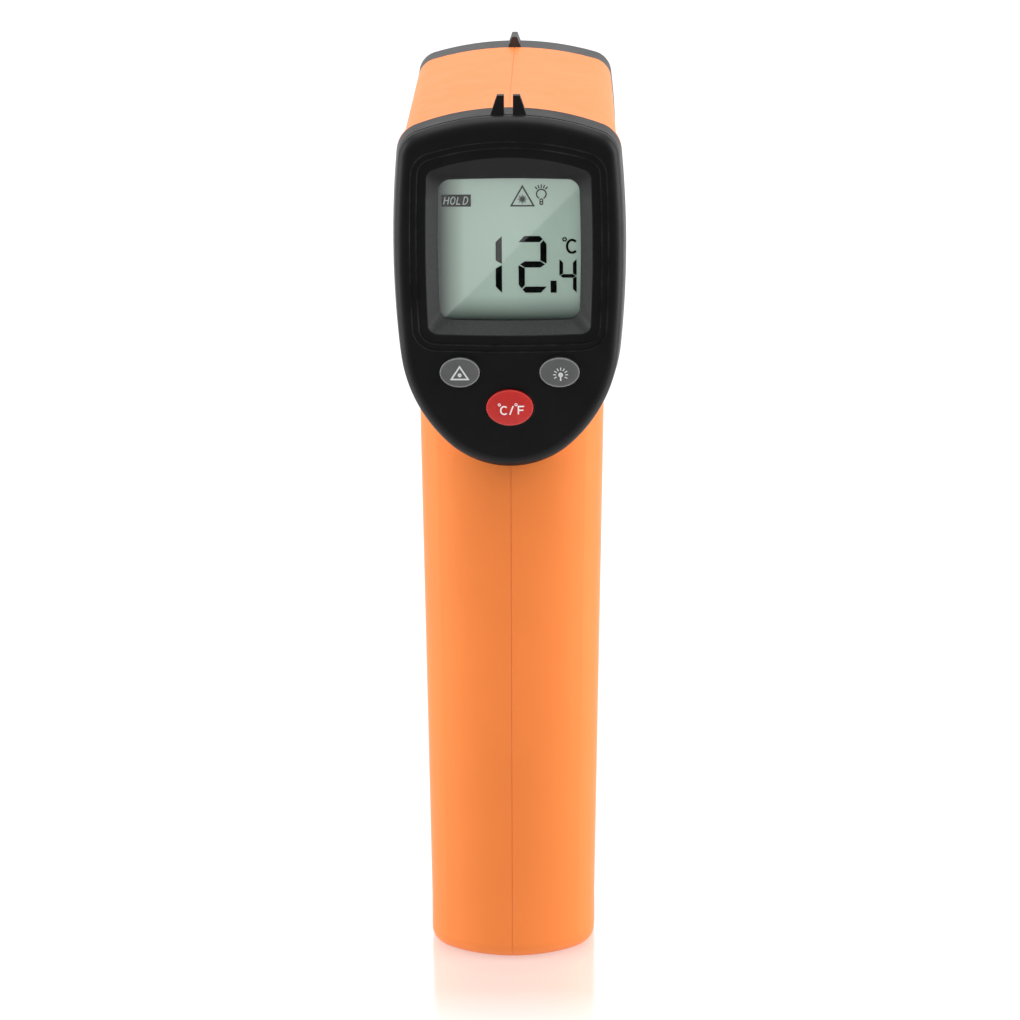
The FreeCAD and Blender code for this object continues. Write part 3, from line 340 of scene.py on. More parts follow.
def display_face(name):
    """The reflective display: grey-green, with painted shade where its frame would shade the left and lower
    edge, and painted light making it lighter towards the top.
    """
    middle_up = middle("lcd_glass", UP) / MM
    low = middle_up - WINDOW_HALF_TALL
    high = middle_up + WINDOW_HALF_TALL
    lit = DISPLAY_LIT
    material, tree, core = new_material(
        name, lit, 0.45, Specular_IOR_Level=0.2, Emission_Strength=BACKLIGHT,
    )
    parts = head_space(tree)
    starts, ends = (inward - WINDOW_HALF_WIDE for inward in LEFT_SHADE)
    left = maths(tree, "POWER", spread(tree, parts["X"], starts, ends, 1, 0), LEFT_SHADE_POWER)
    foot = maths(tree, "POWER", spread(tree, parts["Y"], low, low + FOOT_SHADE, 1, 0), FOOT_SHADE_POWER)
    shade = maths(tree, "MAXIMUM", left, foot)
    grain = noise(tree, millimetres(tree), 0.15, detail=2)
    # Painted light: the display is made lighter towards the top.
    glow = spread(tree, parts["Y"], low, high, 0, 1)
    base = mixed(tree, glow, darker(lit, 0.94), darker(lit, 1.05))
    base = mixed(tree, spread(tree, grain, 0.3, 0.7, 0, 0.03), base, darker(lit, 0.8))
    # Painted shade along the left and lower edges, also fed to the backlight's emission colour.
    face = mixed(tree, shade, base, DISPLAY_SHADED)
    tree.links.new(face, core.inputs["Base Color"])
    tree.links.new(face, core.inputs["Emission Color"])
    raise_bump(tree, core, grain, 0.0005)
    return material


COATED_GLOSS = 0.15
SMEAR_WIDE = 5
SMEAR_ROUGHNESS = 0.02


def clear(name, tint, roughness=0.006):
    """Clear moulded plastic or glass with faint smears on it."""
    material, tree, core = new_material(
        name, tint, roughness, Transmission_Weight=1.0, IOR=1.47, Specular_IOR_Level=COATED_GLOSS,
    )
    smears = noise(tree, millimetres(tree), SMEAR_WIDE, detail=5, rough=0.7)
    gloss = spread(tree, smears, 0.4, 0.8, roughness, roughness + SMEAR_ROUGHNESS)
    tree.links.new(gloss, core.inputs["Roughness"])
    return material


def ink(name, colour, roughness=0.5):
    """Printed ink or a dark display segment, with a faint screen grain."""
    material, tree, core = new_material(name, colour, roughness, Specular_IOR_Level=0.06)
    grain = noise(tree, millimetres(tree), 0.12, detail=2)
    base = mixed(tree, grain, darker(colour, 0.85), darker(colour, 1.12))
    tree.links.new(base, core.inputs["Base Color"])
    return material


RINGS_PER_MM = 1.6
RING_DEEP = 0.15


def milky(name):
    """The lens: infrared-clear polyethylene with fine pressed rings round its axis."""
    material, tree, core = new_material(
        name, tone(206, 208, 204), 0.30, Subsurface_Weight=0.3, Subsurface_Scale=0.002, Coat_Weight=0.4,
    )
    parts = head_space(tree)
    away = []
    for axis, direction in (("X", ACROSS), ("Y", UP)):
        centre = middle("lens", direction) / MM
        away.append(maths(tree, "POWER", maths(tree, "SUBTRACT", parts[axis], centre), 2.0))
    radius = maths(tree, "SQRT", maths(tree, "ADD", away[0], away[1]))
    ring = maths(tree, "FRACT", maths(tree, "MULTIPLY", radius, RINGS_PER_MM))
    raise_bump(tree, core, ring, RING_DEEP)
    return material


# ---------------------------------------------------------------- colours and dressing

ORANGE = tone(242, 132, 67)
WARM_GLOSS = (1.0, 0.72, 0.28, 1.0)
BLACK = tone(9, 9, 10)
BEVEL_BLACK = tone(47, 48, 48)
GREY_RUBBER = tone(88, 89, 89)
RED_RUBBER = tone(196, 32, 26)

# The bevel round the window, in millimetres about the window's middle.
BEVEL_HALF_WIDE = 15.4
BEVEL_HALF_TALL = 16.7
# Over the last few millimetres to the bevel's top, its lighter grain fades to plain black: painted shade.
BEVEL_SHADED_TOP = 13.2
BEVEL_SHADE_FADE = 4
BEVEL_DEPTH = 0.6
BEVEL_GRAIN = 0.22


def bezel_black(name):
    """Satin black, with the coarser, lighter grain of the bevel that leads down to the window; the bevel's
    top is left plain black as painted shade.
    """
    material = moulded(name, BLACK, 0.42, grain=0.3, relief=0.02, Specular_IOR_Level=0.24)
    tree = material.node_tree
    core = tree.nodes["Principled BSDF"]
    parts = head_space(tree)
    face = reach("rear_bezel", OUT)[1] / MM
    centre = middle("display_window", UP) / MM
    sunk = maths(tree, "LESS_THAN", parts["Z"], face - BEVEL_DEPTH)
    beside = maths(tree, "LESS_THAN", maths(tree, "ABSOLUTE", parts["X"]), BEVEL_HALF_WIDE)
    up = maths(tree, "SUBTRACT", parts["Y"], centre)
    near = maths(tree, "LESS_THAN", maths(tree, "ABSOLUTE", up), BEVEL_HALF_TALL)
    # Painted shade: the lighter grain fades out towards the top of the bevel.
    clear_of_painted_shade = spread(tree, up, BEVEL_SHADED_TOP - BEVEL_SHADE_FADE, BEVEL_SHADED_TOP, 1.0, 0.0)
    inside = maths(tree, "MULTIPLY", maths(tree, "MULTIPLY", beside, near), clear_of_painted_shade)
    bevel = maths(tree, "MULTIPLY", sunk, inside)
    speckle = noise(tree, millimetres(tree), BEVEL_GRAIN, detail=3, rough=0.7)
    share = spread(tree, speckle, 0.35, 0.7)
    coarse = mixed(tree, share, darker(BEVEL_BLACK, 0.7), darker(BEVEL_BLACK, 1.5))
    plain = core.inputs["Base Color"].links[0].from_socket
    tree.links.new(mixed(tree, bevel, plain, coarse), core.inputs["Base Color"])
    return material


def dress(names, material):
    """Gives CAD nodes a material in every slot."""
    for name in names:
        node = nodes[name]
        if not node.material_slots:
            node.data.materials.append(material)
        for slot in node.material_slots:
            slot.material = material


CELL_LEAN = Vector((0, 0.25, 1)).normalized()
CELL_CAP_SHARE = 0.03
CELL_DARK_SHARE = 0.70


def cell_sleeve(name):
    """A plain battery sleeve: steel ends, a dark body and a brass-coloured band by the nub."""
    low, high = reach("battery_cell_left", CELL_LEAN)
    long = high - low
    colours = [tone(150, 150, 152), tone(36, 38, 44), tone(196, 140, 60), tone(160, 160, 162)]
    edges = [low + CELL_CAP_SHARE * long, low + CELL_DARK_SHARE * long, high - CELL_CAP_SHARE * long]
    return banded(name, colours, CELL_LEAN, edges, 0.25)


def dress_outside():
    shell = {"relief": 0.010, "drift": 0.03, "Specular_Tint": WARM_GLOSS}
    dress(["left_housing", "right_housing"], moulded("orange_abs", ORANGE, 0.45, **shell))
    dress(["battery_door"], moulded("door_abs", darker(ORANGE, 0.97), 0.46, **shell))
    dress(["rear_bezel"], bezel_black("black_abs"))
    dress(["nose_ring"], moulded("nose_abs", tone(40, 40, 40), 0.50, grain=0.3, relief=0.02))
    dress(["trigger"], moulded("trigger_abs", tone(30, 30, 31), 0.42, grain=0.3, relief=0.015))
    # The last colour given to rubber is its painted rim highlight.
    grey_rubber = rubber("grey_silicone", GREY_RUBBER, 0.42, tone(178, 180, 178))
    dress(["laser_button", "backlight_button"], grey_rubber)
    dress(["unit_button"], rubber("red_silicone", RED_RUBBER, 0.42, tone(226, 90, 84)))
    dress(["display_window"], clear("clear_pc", tone(252, 255, 254)))
    dress(["lcd_glass"], display_face("display_face"))
    dress(["lens"], milky("milky_lens"))
    dress(["laser_window"], clear("red_glass", tone(214, 40, 36), 0.05))
    nodes["display_window"].visible_shadow = False
    nodes["laser_window"].visible_shadow = False


def dress_inside():
    dress(["lcd_gasket"], moulded("foam", tone(24, 24, 24), 0.9, grain=0.5, relief=0.05))
    white = moulded("white_plastic", tone(232, 232, 226), 0.5, drift=0.02)
    dress(["lcd_holder", "backlight_diffuser"], white)
    dress(["backlight_led"], moulded("led_body", tone(244, 240, 206), 0.3, drift=0.02))
    dress(["zebra_strip"], moulded("zebra_rubber", tone(70, 66, 78), 0.7))
    dress(["main_board", "sensor_board", "trigger_board"], circuit_board("circuit_board"))
    dress(["controller_chip", "amplifier_chip"], printed_chip("chip_epoxy", tone(32, 32, 34)))
    dress(["capacitors"], metal("capacitor_can", tone(190, 192, 196), 0.28))
    dress(["buzzer"], moulded("buzzer_case", tone(22, 22, 24), 0.38))
    dress(["button_switches", "trigger_switch"], printed_chip("switch_body", tone(44, 44, 48)))
    plunger = moulded("plunger", tone(26, 26, 28), 0.45)
    dress(["laser_plunger", "backlight_plunger", "unit_plunger"], plunger)
    dress(["optics_tube", "laser_holder"], moulded("tube_black", tone(20, 20, 21), 0.55))
    dress(["lens_retainer"], moulded("retainer_black", tone(28, 28, 29), 0.4))
    dress(["thermopile_sensor"], metal("sensor_can", tone(198, 196, 188), 0.24))
    dress(["laser_module", "contact_bridge"], metal("laser_brass", tone(206, 168, 96), 0.28))
    dress(["contact_springs", "trigger_spring"], metal("spring_steel", tone(176, 178, 180), 0.26))
    dress(["housing_screws", "board_screws"], metal("screw_steel", tone(120, 122, 126), 0.34))
    dress(["trigger_pin"], metal("pin_steel", tone(168, 170, 172), 0.22))
    dress(["battery_tray"], moulded("tray_abs", tone(34, 34, 36), 0.5))
    dress(["battery_cell_left", "battery_cell_right"], cell_sleeve("cell_sleeve"))
    dress(["battery_wire_red"], moulded("red_wire", tone(186, 28, 26), 0.4, drift=0.03))
    dress(["battery_wire_black"], moulded("black_wire", tone(24, 24, 24), 0.4, drift=0.03))
    dress(["sensor_wires", "laser_wires", "trigger_wires"], moulded("grey_wire", tone(120, 122, 126), 0.4))


# ---------------------------------------------------------------- drawn figures

def flat(origin):
    """Places figures on the plane through origin that faces out of the head."""
    return lambda x, y, z: origin + ACROSS * (x * MM) + UP * (y * MM) + OUT * (z * MM)


CROWN_DEEP = 0.9 * MM
CROWN_EDGE = 0.05 * MM


def crowned(button):
    """Places figures on a button's domed face, about the button's middle."""
    centre = head_point(middle(button, ACROSS), middle(button, UP), 0)
    top = reach(button, OUT)[1]
    crown = [vertex.co for vertex in nodes[button].data.vertices if vertex.co.dot(OUT) > top - CROWN_DEEP]
    across = max((spot - centre).dot(ACROSS) for spot in crown)
    edge = [spot for spot in crown if (spot - centre).dot(ACROSS) > across - CROWN_EDGE]
    drop = top - min(spot.dot(OUT) for spot in edge)
    radius = (across ** 2 + drop ** 2) / (2 * drop)

    def place(x, y, z):
        sag = radius - math.sqrt(radius ** 2 - (x * MM) ** 2 - (y * MM) ** 2)
        return centre + ACROSS * (x * MM) + UP * (y * MM) + OUT * (top - sag + z * MM)

    return place


def new_piece(name, mesh, material, body):
    """A piece of the visual model from a drawn mesh, riding on a body of the frame."""
    data = bpy.data.meshes.new(name)
    mesh.normal_update()
    mesh.to_mesh(data)
    mesh.free()
    data.materials.append(material)
    piece = bpy.data.objects.new(name, data)
    scene.collection.objects.link(piece)
    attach(piece, body)
    return piece


def plate(mesh, outline, place, low, high):
    """Adds a thin plate with this outline, from low to high out of the face."""
    under = [mesh.verts.new(place(x, y, low)) for x, y in outline]
    over = [mesh.verts.new(place(x, y, high)) for x, y in outline]
    mesh.faces.new(list(reversed(under)))
    mesh.faces.new(over)
    for step in range(len(outline)):
        following = (step + 1) % len(outline)
        mesh.faces.new([under[step], under[following], over[following], over[step]])


def resampled(points, closed, step=0.2):
    """The same line with points no further than step apart."""
    line = []
    pairs = len(points) if closed else len(points) - 1
    for index in range(pairs):
        start = Vector(points[index])
        end = Vector(points[(index + 1) % len(points)])
        count = max(1, math.ceil((end - start).length / step))
        line += [start.lerp(end, part / count) for part in range(count)]
    if not closed:
        line.append(Vector(points[-1]))
    return line


def stroke(mesh, points, width, place, low, high, closed=False):
    """Adds a ribbon of this width along a line of points."""
    line = resampled(points, closed)
    last = len(line) - 1
    rails = []
    for index, point in enumerate(line):
        before = line[index - 1] if closed or index > 0 else point
        after = line[(index + 1) % len(line)] if closed or index < last else point
        first = (point - before).normalized() if point != before else (after - point).normalized()
        second = (after - point).normalized() if after != point else first
        along = (first + second).normalized()
        side = Vector((-along.y, along.x))
        reach_out = width / 2 / max(0.5, side.dot(Vector((-first.y, first.x))))
        rails.append((point + side * reach_out, point - side * reach_out))
    rings = []
    for left, right in rails:
        rings.append([
            mesh.verts.new(place(left.x, left.y, low)), mesh.verts.new(place(right.x, right.y, low)),
            mesh.verts.new(place(right.x, right.y, high)), mesh.verts.new(place(left.x, left.y, high)),
        ])
    spans = len(rings) if closed else len(rings) - 1
    for index in range(spans):
        near = rings[index]
        far = rings[(index + 1) % len(rings)]
        for corner in range(4):
            after = (corner + 1) % 4
            mesh.faces.new([near[corner], far[corner], far[after], near[after]])
    if not closed:
        mesh.faces.new(list(reversed(rings[0])))
        mesh.faces.new(rings[-1])


def arc(centre, wide, tall, start, end, count=28):
    """Points on an oval arc between two angles, in degrees from +x, anticlockwise."""
    points = []
    for step in range(count + 1):
        angle = math.radians(start + (end - start) * step / count)
        points.append((centre[0] + wide * math.cos(angle), centre[1] + tall * math.sin(angle)))
    return points


def circle(centre, radius, count=28):
    """Points on a closed circle, without its first point again at the end."""
    return arc(centre, radius, radius, 0, 360, count)[:-1]


# ---------------------------------------------------------------- display segments

SEGMENT_LOW = 0.0
SEGMENT_HIGH = 0.06


def upright(outer, inner, tip, mid, thick):
    """A seven-segment upright: outer is its long side, tip its free end, mid the digit's waist."""
    way = 1 if tip > mid else -1
    return [
        (outer, tip), (outer, mid + way * 0.12 * thick),
        (inner, mid + way * 0.65 * thick), (inner, tip - way * thick),
    ]


def figure_one(right, low, tall, thick):
    """The two uprights on the right of a digit."""
    mid = low + tall / 2
    return [
        upright(right, right - thick, low + tall, mid, thick),
        upright(right, right - thick, low, mid, thick),
    ]


def figure_two(left, low, wide, tall, thick):
    """Top, upper right, middle, lower left and bottom; the second half is the first turned round."""
    top = [
        (0, tall - thick), (0.95 * thick, tall), (wide - 1.1 * thick, tall),
        (wide - 0.6 * thick, tall - 0.5 * thick), (wide - 1.1 * thick, tall - thick),
    ]
    side = [
        (wide - 0.5 * thick, tall - 0.7 * thick), (wide, tall - 1.3 * thick),
        (wide, tall / 2 + 0.12 * thick), (wide - thick, tall / 2 + 0.65 * thick),
        (wide - thick, tall - 1.25 * thick),
    ]
    waist = [
        (0.25 * thick, tall / 2), (thick, tall / 2 + thick / 2), (wide - thick, tall / 2 + thick / 2),
        (wide - 0.25 * thick, tall / 2), (wide - thick, tall / 2 - thick / 2),
        (thick, tall / 2 - thick / 2),
    ]
    shapes = [top, side, waist]
    shapes += [[(wide - x, tall - y) for x, y in shape] for shape in (top, side)]
    return [[(left + x, low + y) for x, y in shape] for shape in shapes]


def figure_four(left, low, wide, tall, thick):
    """Upper left, waist and both uprights on the right."""
    mid = low + tall / 2
    right = left + wide
    waist = [
        (left + 0.3 * thick, mid), (left + thick, mid + thick / 2), (right - thick, mid + thick / 2),
        (right - 0.2 * thick, mid), (right - thick, mid - thick / 2), (left + thick, mid - thick / 2),
    ]
    return [
        upright(left, left + thick, low + tall, mid, thick), waist,
        upright(right, right - thick, low + tall, mid, thick),
        upright(right, right - thick, low, mid, thick),
    ]


def block(left, low, wide, tall):
    """The outline of an upright rectangle."""
    return [(left, low), (left + wide, low), (left + wide, low + tall), (left, low + tall)]


DIGIT_LOW = -8.15
DIGIT_TALL = 10.4
DIGIT_THICK = 1.12
ONE_RIGHT = -1.35
TWO_LEFT = 1.65
TWO_WIDE = 5.05
POINT = (7.4, DIGIT_LOW, 1.1, 2.2)
FOUR_LEFT = 9.0
FOUR_WIDE = 3.1
FOUR_TALL = 6.15
FOUR_THICK = 0.66
DEGREE_PLACE = (9.95, 1.62)
UNIT_PLACE = (11.3, 0.35)


def draw_reading(mesh, place):
    """The temperature: twelve point four degrees."""
    shapes = figure_one(ONE_RIGHT, DIGIT_LOW, DIGIT_TALL, DIGIT_THICK)
    shapes += figure_two(TWO_LEFT, DIGIT_LOW, TWO_WIDE, DIGIT_TALL, DIGIT_THICK)
    shapes.append(block(*POINT))
    shapes += figure_four(FOUR_LEFT, DIGIT_LOW, FOUR_WIDE, FOUR_TALL, FOUR_THICK)
    for shape in shapes:
        plate(mesh, shape, place, SEGMENT_LOW, SEGMENT_HIGH)
    stroke(mesh, circle(DEGREE_PLACE, 0.31, 16), 0.22, place, SEGMENT_LOW, SEGMENT_HIGH, closed=True)
    stroke(mesh, arc(UNIT_PLACE, 0.92, 1.17, 44, 316), 0.42, place, SEGMENT_LOW, SEGMENT_HIGH)


BEAM_CORNERS = [(0.38, 7.78), (4.42, 7.78), (2.4, 11.35)]
BEAM_CENTRE = Vector((2.4, 8.98))
BEAM_RAYS = 16
BEAM_RAY_LENGTHS = (0.86, 0.66)


def draw_beam_sign(mesh, place):
    """A triangle round a small starburst: the laser is on."""
    stroke(mesh, BEAM_CORNERS, 0.27, place, SEGMENT_LOW, SEGMENT_HIGH, closed=True)
    plate(mesh, circle(BEAM_CENTRE, 0.38, 16), place, SEGMENT_LOW, SEGMENT_HIGH)
    for ray in range(BEAM_RAYS):
        angle = 2 * math.pi * ray / BEAM_RAYS
        way = Vector((math.cos(angle), math.sin(angle)))
        line = [BEAM_CENTRE + way * 0.34, BEAM_CENTRE + way * BEAM_RAY_LENGTHS[ray % 2]]
        stroke(mesh, line, 0.11, place, SEGMENT_LOW, SEGMENT_HIGH)


LAMP_CENTRE = Vector((5.8, 9.9))
LAMP_RAYS = 5
LAMP_RAY_STEP = 20
LAMP_RAY = (1.12, 1.75)


def draw_lamp_sign(mesh, place):
    """A lamp with five rays: the backlight is on."""
    centre = LAMP_CENTRE
    stroke(mesh, arc(centre, 0.86, 0.86, -62, 242), 0.24, place, SEGMENT_LOW, SEGMENT_HIGH)
    for ray in range(LAMP_RAYS):
        angle = math.radians(90 + (ray - LAMP_RAYS // 2) * LAMP_RAY_STEP)
        way = Vector((math.cos(angle), math.sin(angle)))
        line = [centre + way * reach_out for reach_out in LAMP_RAY]
        stroke(mesh, line, 0.22, place, SEGMENT_LOW, SEGMENT_HIGH)
    for step in range(2):
        drop = Vector((0, -1.15 - 0.5 * step))
        stroke(mesh, circle(centre + drop, 0.27, 14), 0.2, place, SEGMENT_LOW, SEGMENT_HIGH, closed=True)


HOLD_FLAG = (-12.15, 7.65, 5.3, 2.2)
LETTER_LEAN = 0.2
LETTER_WIDE = 0.72
LETTER_TALL = 1.3
LETTER_PITCH = 1.16
LETTER_START = 0.42


def flag_letters():
    """The strokes of the four letters on the hold flag, each in a cell one wide and one tall."""
    return [
        [[(0, 0), (0, 1)], [(1, 0), (1, 1)], [(0, 0.52), (1, 0.52)]],
        [arc((0.5, 0.5), 0.52, 0.5, 0, 350, 20)],
        [[(0, 1), (0, 0), (0.9, 0)]],
        [[(0.35, 0), (0, 0), (0, 1), (0.35, 1)] + arc((0.35, 0.5), 0.62, 0.5, 80, -90, 14)],
    ]


def draw_flag(mesh, place):
    """The dark field behind the word on the hold sign."""
    plate(mesh, block(*HOLD_FLAG), place, SEGMENT_LOW, SEGMENT_HIGH)


def draw_flag_letters(mesh, place):
    """The leaning letters on that field, pale."""
    left, low, wide, tall = HOLD_FLAG
    foot = low + (tall - LETTER_TALL) / 2
    for index, letter in enumerate(flag_letters()):
        start = left + LETTER_START + index * LETTER_PITCH
        for line in letter:
            points = [
                (start + x * LETTER_WIDE + LETTER_LEAN * y * LETTER_TALL, foot + y * LETTER_TALL)
                for x, y in line
            ]
            stroke(mesh, points, 0.19, place, SEGMENT_HIGH, SEGMENT_HIGH + 0.02)


def make_display_figures():
    """Dark segments lying on the display glass, under the window."""
    face = reach("lcd_glass", OUT)[1]
    place = flat(head_point(middle("lcd_glass", ACROSS), middle("lcd_glass", UP), face))
    dark = ink("segment_black", tone(4, 5, 5))
    pale = ink("segment_pale", tone(196, 206, 200))
    figures = [
        ("reading_segments", draw_reading, dark), ("laser_on_sign", draw_beam_sign, dark),
        ("backlight_on_sign", draw_lamp_sign, dark), ("hold_flag", draw_flag, dark),
        ("hold_flag_letters", draw_flag_letters, pale),
    ]
    for name, draw, material in figures:
        mesh = bmesh.new()
        draw(mesh, place)
        new_piece(name, mesh, material, "housing")


# ---------------------------------------------------------------- button signs

PRINT_LOW = -0.03
PRINT_HIGH = 0.035


def draw_button_triangle(mesh, place):
    """A triangle with a dot in it: the laser button's sign."""
    stroke(mesh, [(-1.52, -1.2), (1.52, -1.2), (0, 1.12)], 0.28, place, PRINT_LOW, PRINT_HIGH, closed=True)
    for ring in range(1, 3):
        stroke(mesh, circle((0, -0.42), 0.14 * ring, 14), 0.15, place, PRINT_LOW, PRINT_HIGH, closed=True)


BUTTON_LAMP_CENTRE = Vector((0.2, -0.4))
BUTTON_LAMP_RAYS = 9
BUTTON_LAMP_FIRST = -28
BUTTON_LAMP_SWEEP = 236


def draw_button_lamp(mesh, place):
    """A lamp with rays over its top: the backlight button's sign."""
    centre = BUTTON_LAMP_CENTRE
    for ring in range(1, 3):
        stroke(mesh, circle(centre, 0.17 * ring, 16), 0.18, place, PRINT_LOW, PRINT_HIGH, closed=True)
    stem = [centre + Vector((0, -0.3)), centre + Vector((0, -1.1))]
    stroke(mesh, stem, 0.26, place, PRINT_LOW, PRINT_HIGH)
    for ray in range(BUTTON_LAMP_RAYS):
        angle = math.radians(BUTTON_LAMP_FIRST + BUTTON_LAMP_SWEEP * ray / (BUTTON_LAMP_RAYS - 1))
        way = Vector((math.cos(angle), math.sin(angle)))
        stroke(mesh, [centre + way * 0.82, centre + way * 1.35], 0.17, place, PRINT_LOW, PRINT_HIGH)


def draw_button_units(mesh, place):
    """Degrees Celsius, a slash and degrees Fahrenheit."""
    degrees = [circle((-1.9, 0.62), 0.2, 14), circle((1.12, 0.66), 0.2, 14)]
    lines = [
        arc((-1.02, -0.42), 0.62, 0.72, 46, 314), [(0.0, -1.2), (0.6, 0.4)],
        [(1.55, -1.15), (1.55, 0.32), (2.6, 0.32)], [(1.55, -0.38), (2.45, -0.38)],
    ]
    for degree in degrees:
        stroke(mesh, degree, 0.14, place, PRINT_LOW, PRINT_HIGH, closed=True)
    for line in lines:
        stroke(mesh, line, 0.25, place, PRINT_LOW, PRINT_HIGH)


def make_button_signs():
    pale = ink("sign_pale", tone(214, 216, 214))
    white = ink("sign_white", tone(246, 238, 238))
    signs = [
        ("laser_button", draw_button_triangle, pale, "grey_silicone"),
        ("backlight_button", draw_button_lamp, pale, "grey_silicone"),
        ("unit_button", draw_button_units, white, "red_silicone"),
    ]
    for button, draw, material, slot in signs:
        mesh = bmesh.new()
        draw(mesh, crowned(button))
        new_piece(button + "_sign", mesh, material, button)


# ---------------------------------------------------------------- studio

FLOOR_COLOUR = (0.60, 0.60, 0.60, 1)
FLOOR_MIRROR = 0.74
FLOOR_MIRROR_FAR = 0.34
FLOOR_ROUGHNESS = 0.14
FLOOR_GLOW = 0.44
FLOOR_WIDE = 3.0
FLOOR_DROP = 0.02 * MM
# The mirror image fades between these places in front of the foot, in millimetres.
FADE_STARTS = -26
FADE_ENDS = -42


def make_floor():
    """A white table that mirrors the foot faintly."""
    mesh = bmesh.new()
    bmesh.ops.create_grid(mesh, x_segments=1, y_segments=1, size=FLOOR_WIDE / 2)
    data = bpy.data.meshes.new("floor")
    mesh.to_mesh(data)
    mesh.free()
    material, tree, core = new_material(
        "floor_white", FLOOR_COLOUR, FLOOR_ROUGHNESS,
        Emission_Color=(1, 1, 1, 1), Emission_Strength=FLOOR_GLOW,
    )
    parts = add(tree, "SeparateXYZ", {0: millimetres(tree)})
    fading = spread(tree, parts.outputs["Y"], FADE_STARTS, FADE_ENDS, FLOOR_MIRROR, FLOOR_MIRROR_FAR)
    tree.links.new(fading, core.inputs["Metallic"])
    data.materials.append(material)
    floor = bpy.data.objects.new("floor", data)
    floor.location.z = -FLOOR_DROP
    scene.collection.objects.link(floor)


FRONT_DIM = 0.32


def make_world():
    """A white tent, dimmer on the side that the display faces."""
    world = bpy.data.worlds.new("tent")
    world.use_nodes = True
    scene.world = world
    tree = world.node_tree
    way = add(tree, "TexCoord").outputs["Generated"]
    parts = add(tree, "SeparateXYZ", {0: way})
    front = spread(tree, parts.outputs["Y"], -1.0, 0.2, FRONT_DIM, 1.0)
    seen = add(tree, "LightPath").outputs["Is Camera Ray"]
    front = maths(tree, "MAXIMUM", front, seen)
    tree.nodes["Background"].inputs["Color"].default_value = (1, 1, 1, 1)
    tree.links.new(front, tree.nodes["Background"].inputs["Strength"])


def softbox(name, place, aim, wide, tall, watts):
    """A rectangular area light that faces a point."""
    data = bpy.data.lights.new(name, "AREA")
    data.shape = "RECTANGLE"
    data.size = wide
    data.size_y = tall
    data.energy = watts
    lamp = bpy.data.objects.new(name, data)
    lamp.location = place
    lamp.rotation_euler = (Vector(aim) - Vector(place)).to_track_quat("-Z", "Y").to_euler()
    scene.collection.objects.link(lamp)


# Each softbox's name, place and size in metres, and watts.
SOFTBOXES = (
    ("left_box", (-0.7, -0.05, 0.22), 0.45, 0.8, 3.6),
    ("right_box", (0.7, -0.05, 0.22), 0.45, 0.8, 4.5),
    ("top_box", (0, 0.1, 0.9), 0.8, 0.8, 4.0),
)


def make_lights():
    centre = (cad_box[0] + cad_box[1]) / 2
    for name, place, wide, tall, watts in SOFTBOXES:
        softbox(name, place, centre, wide, tall, watts)


def card(name, corners, material):
    """A studio card that lights or shades by reflection but is never seen itself."""
    data = bpy.data.meshes.new(name)
    data.from_pydata([tuple(corner) for corner in corners], [], [tuple(range(len(corners)))])
    data.materials.append(material)
    sheet = bpy.data.objects.new(name, data)
    sheet.visible_camera = False
    sheet.visible_diffuse = False
    sheet.visible_shadow = False
    scene.collection.objects.link(sheet)
    return sheet


def one_sided_black():
    """Black on the upper side and clear from below."""
    material = bpy.data.materials.new("black_card")
    material.use_nodes = True
    tree = material.node_tree
    under = add(tree, "NewGeometry").outputs["Backfacing"]
    black = add(tree, "BsdfDiffuse", {"Color": (0.01, 0.01, 0.01, 1)}).outputs[0]
    through = add(tree, "BsdfTransparent").outputs[0]
    surface = add(tree, "MixShader", {0: under, 1: black, 2: through}).outputs[0]
    tree.links.new(surface, tree.nodes["Material Output"].inputs["Surface"])
    return material


CARD_NEAR = -0.24
CARD_FAR = -1.45
CARD_HALF_WIDE = 0.45
CARD_LIFT = MM


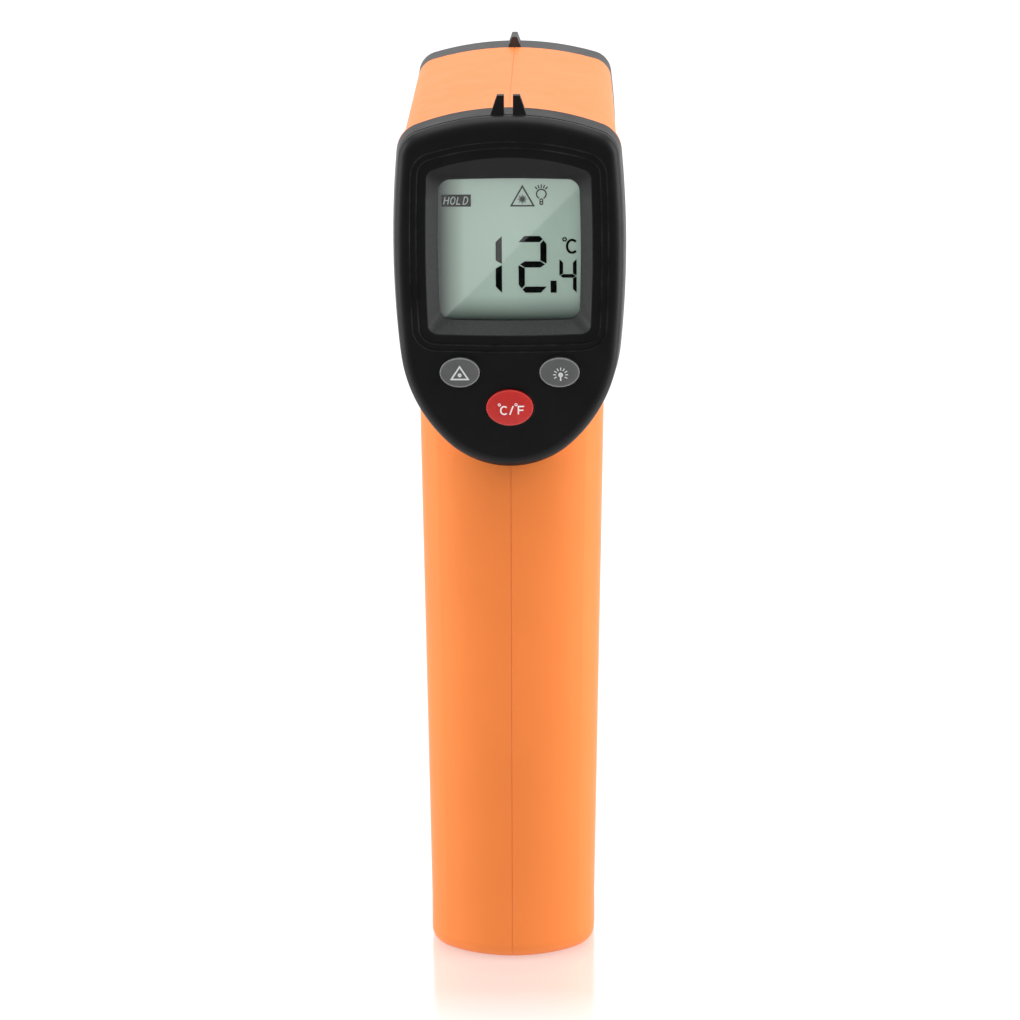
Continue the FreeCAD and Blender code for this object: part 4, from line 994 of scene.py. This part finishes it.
def make_black_card():
    """A black card lying in front, so that the black face mirrors no white table."""
    corners = [
        (-CARD_HALF_WIDE, CARD_FAR, CARD_LIFT), (CARD_HALF_WIDE, CARD_FAR, CARD_LIFT),
        (CARD_HALF_WIDE, CARD_NEAR, CARD_LIFT), (-CARD_HALF_WIDE, CARD_NEAR, CARD_LIFT),
    ]
    card("black_card", corners, one_sided_black())


def clear_glow(strength):
    """Gives light and lets everything else through."""
    material = bpy.data.materials.new("glare_card")
    material.use_nodes = True
    tree = material.node_tree
    glow = add(tree, "Emission", {"Strength": strength}).outputs[0]
    through = add(tree, "BsdfTransparent").outputs[0]
    surface = add(tree, "AddShader", {0: glow, 1: through}).outputs[0]
    tree.links.new(surface, tree.nodes["Material Output"].inputs["Surface"])
    return material


# The card stands at GLARE_BACK in metres. Its edge and its inner side are given by the
# spots, in millimetres about the window's middle, where the window mirrors them.
GLARE_BACK = -0.24
GLARE_GLOW = 1.0
GLARE_ENDS = ((12.1, 10.7), (-8.7, -9.7))
GLARE_CORNER = (-12.5, 12.5)
GLARE_SPREAD = 0.12


def make_glare_card(camera):
    """A bright card whose slanted edge the window mirrors across the display."""
    centre = head_point(
        middle("display_window", ACROSS), middle("display_window", UP), reach("display_window", OUT)[1],
    )
    eye = camera.matrix_world.translation

    def mirrored(spot):
        point = centre + ACROSS * (spot[0] * MM) + UP * (spot[1] * MM)
        ray = (point - eye).normalized()
        bounced = ray - OUT * (2 * ray.dot(OUT))
        return point + bounced * ((GLARE_BACK - point.y) / bounced.y)

    first, second = (mirrored(spot) for spot in GLARE_ENDS)
    inside = mirrored(GLARE_CORNER)
    along = (second - first).normalized()
    away = inside - first
    away = (away - along * away.dot(along)).normalized()
    ends = (first - along * GLARE_SPREAD, second + along * GLARE_SPREAD)
    glare = card(
        "glare_card", [ends[0], ends[1], ends[1] + away * GLARE_SPREAD, ends[0] + away * GLARE_SPREAD],
        clear_glow(GLARE_GLOW),
    )
    mirrors = bpy.data.collections.new("mirrors_of_the_glare_card")
    mirrors.objects.link(nodes["display_window"])
    glare.light_linking.receiver_collection = mirrors


camera = make_camera()
dress_outside()
dress_inside()
make_display_figures()
make_button_signs()
make_floor()
make_world()
make_lights()
make_black_card()
make_glare_card(camera)
scene.view_settings.view_transform = "Standard"
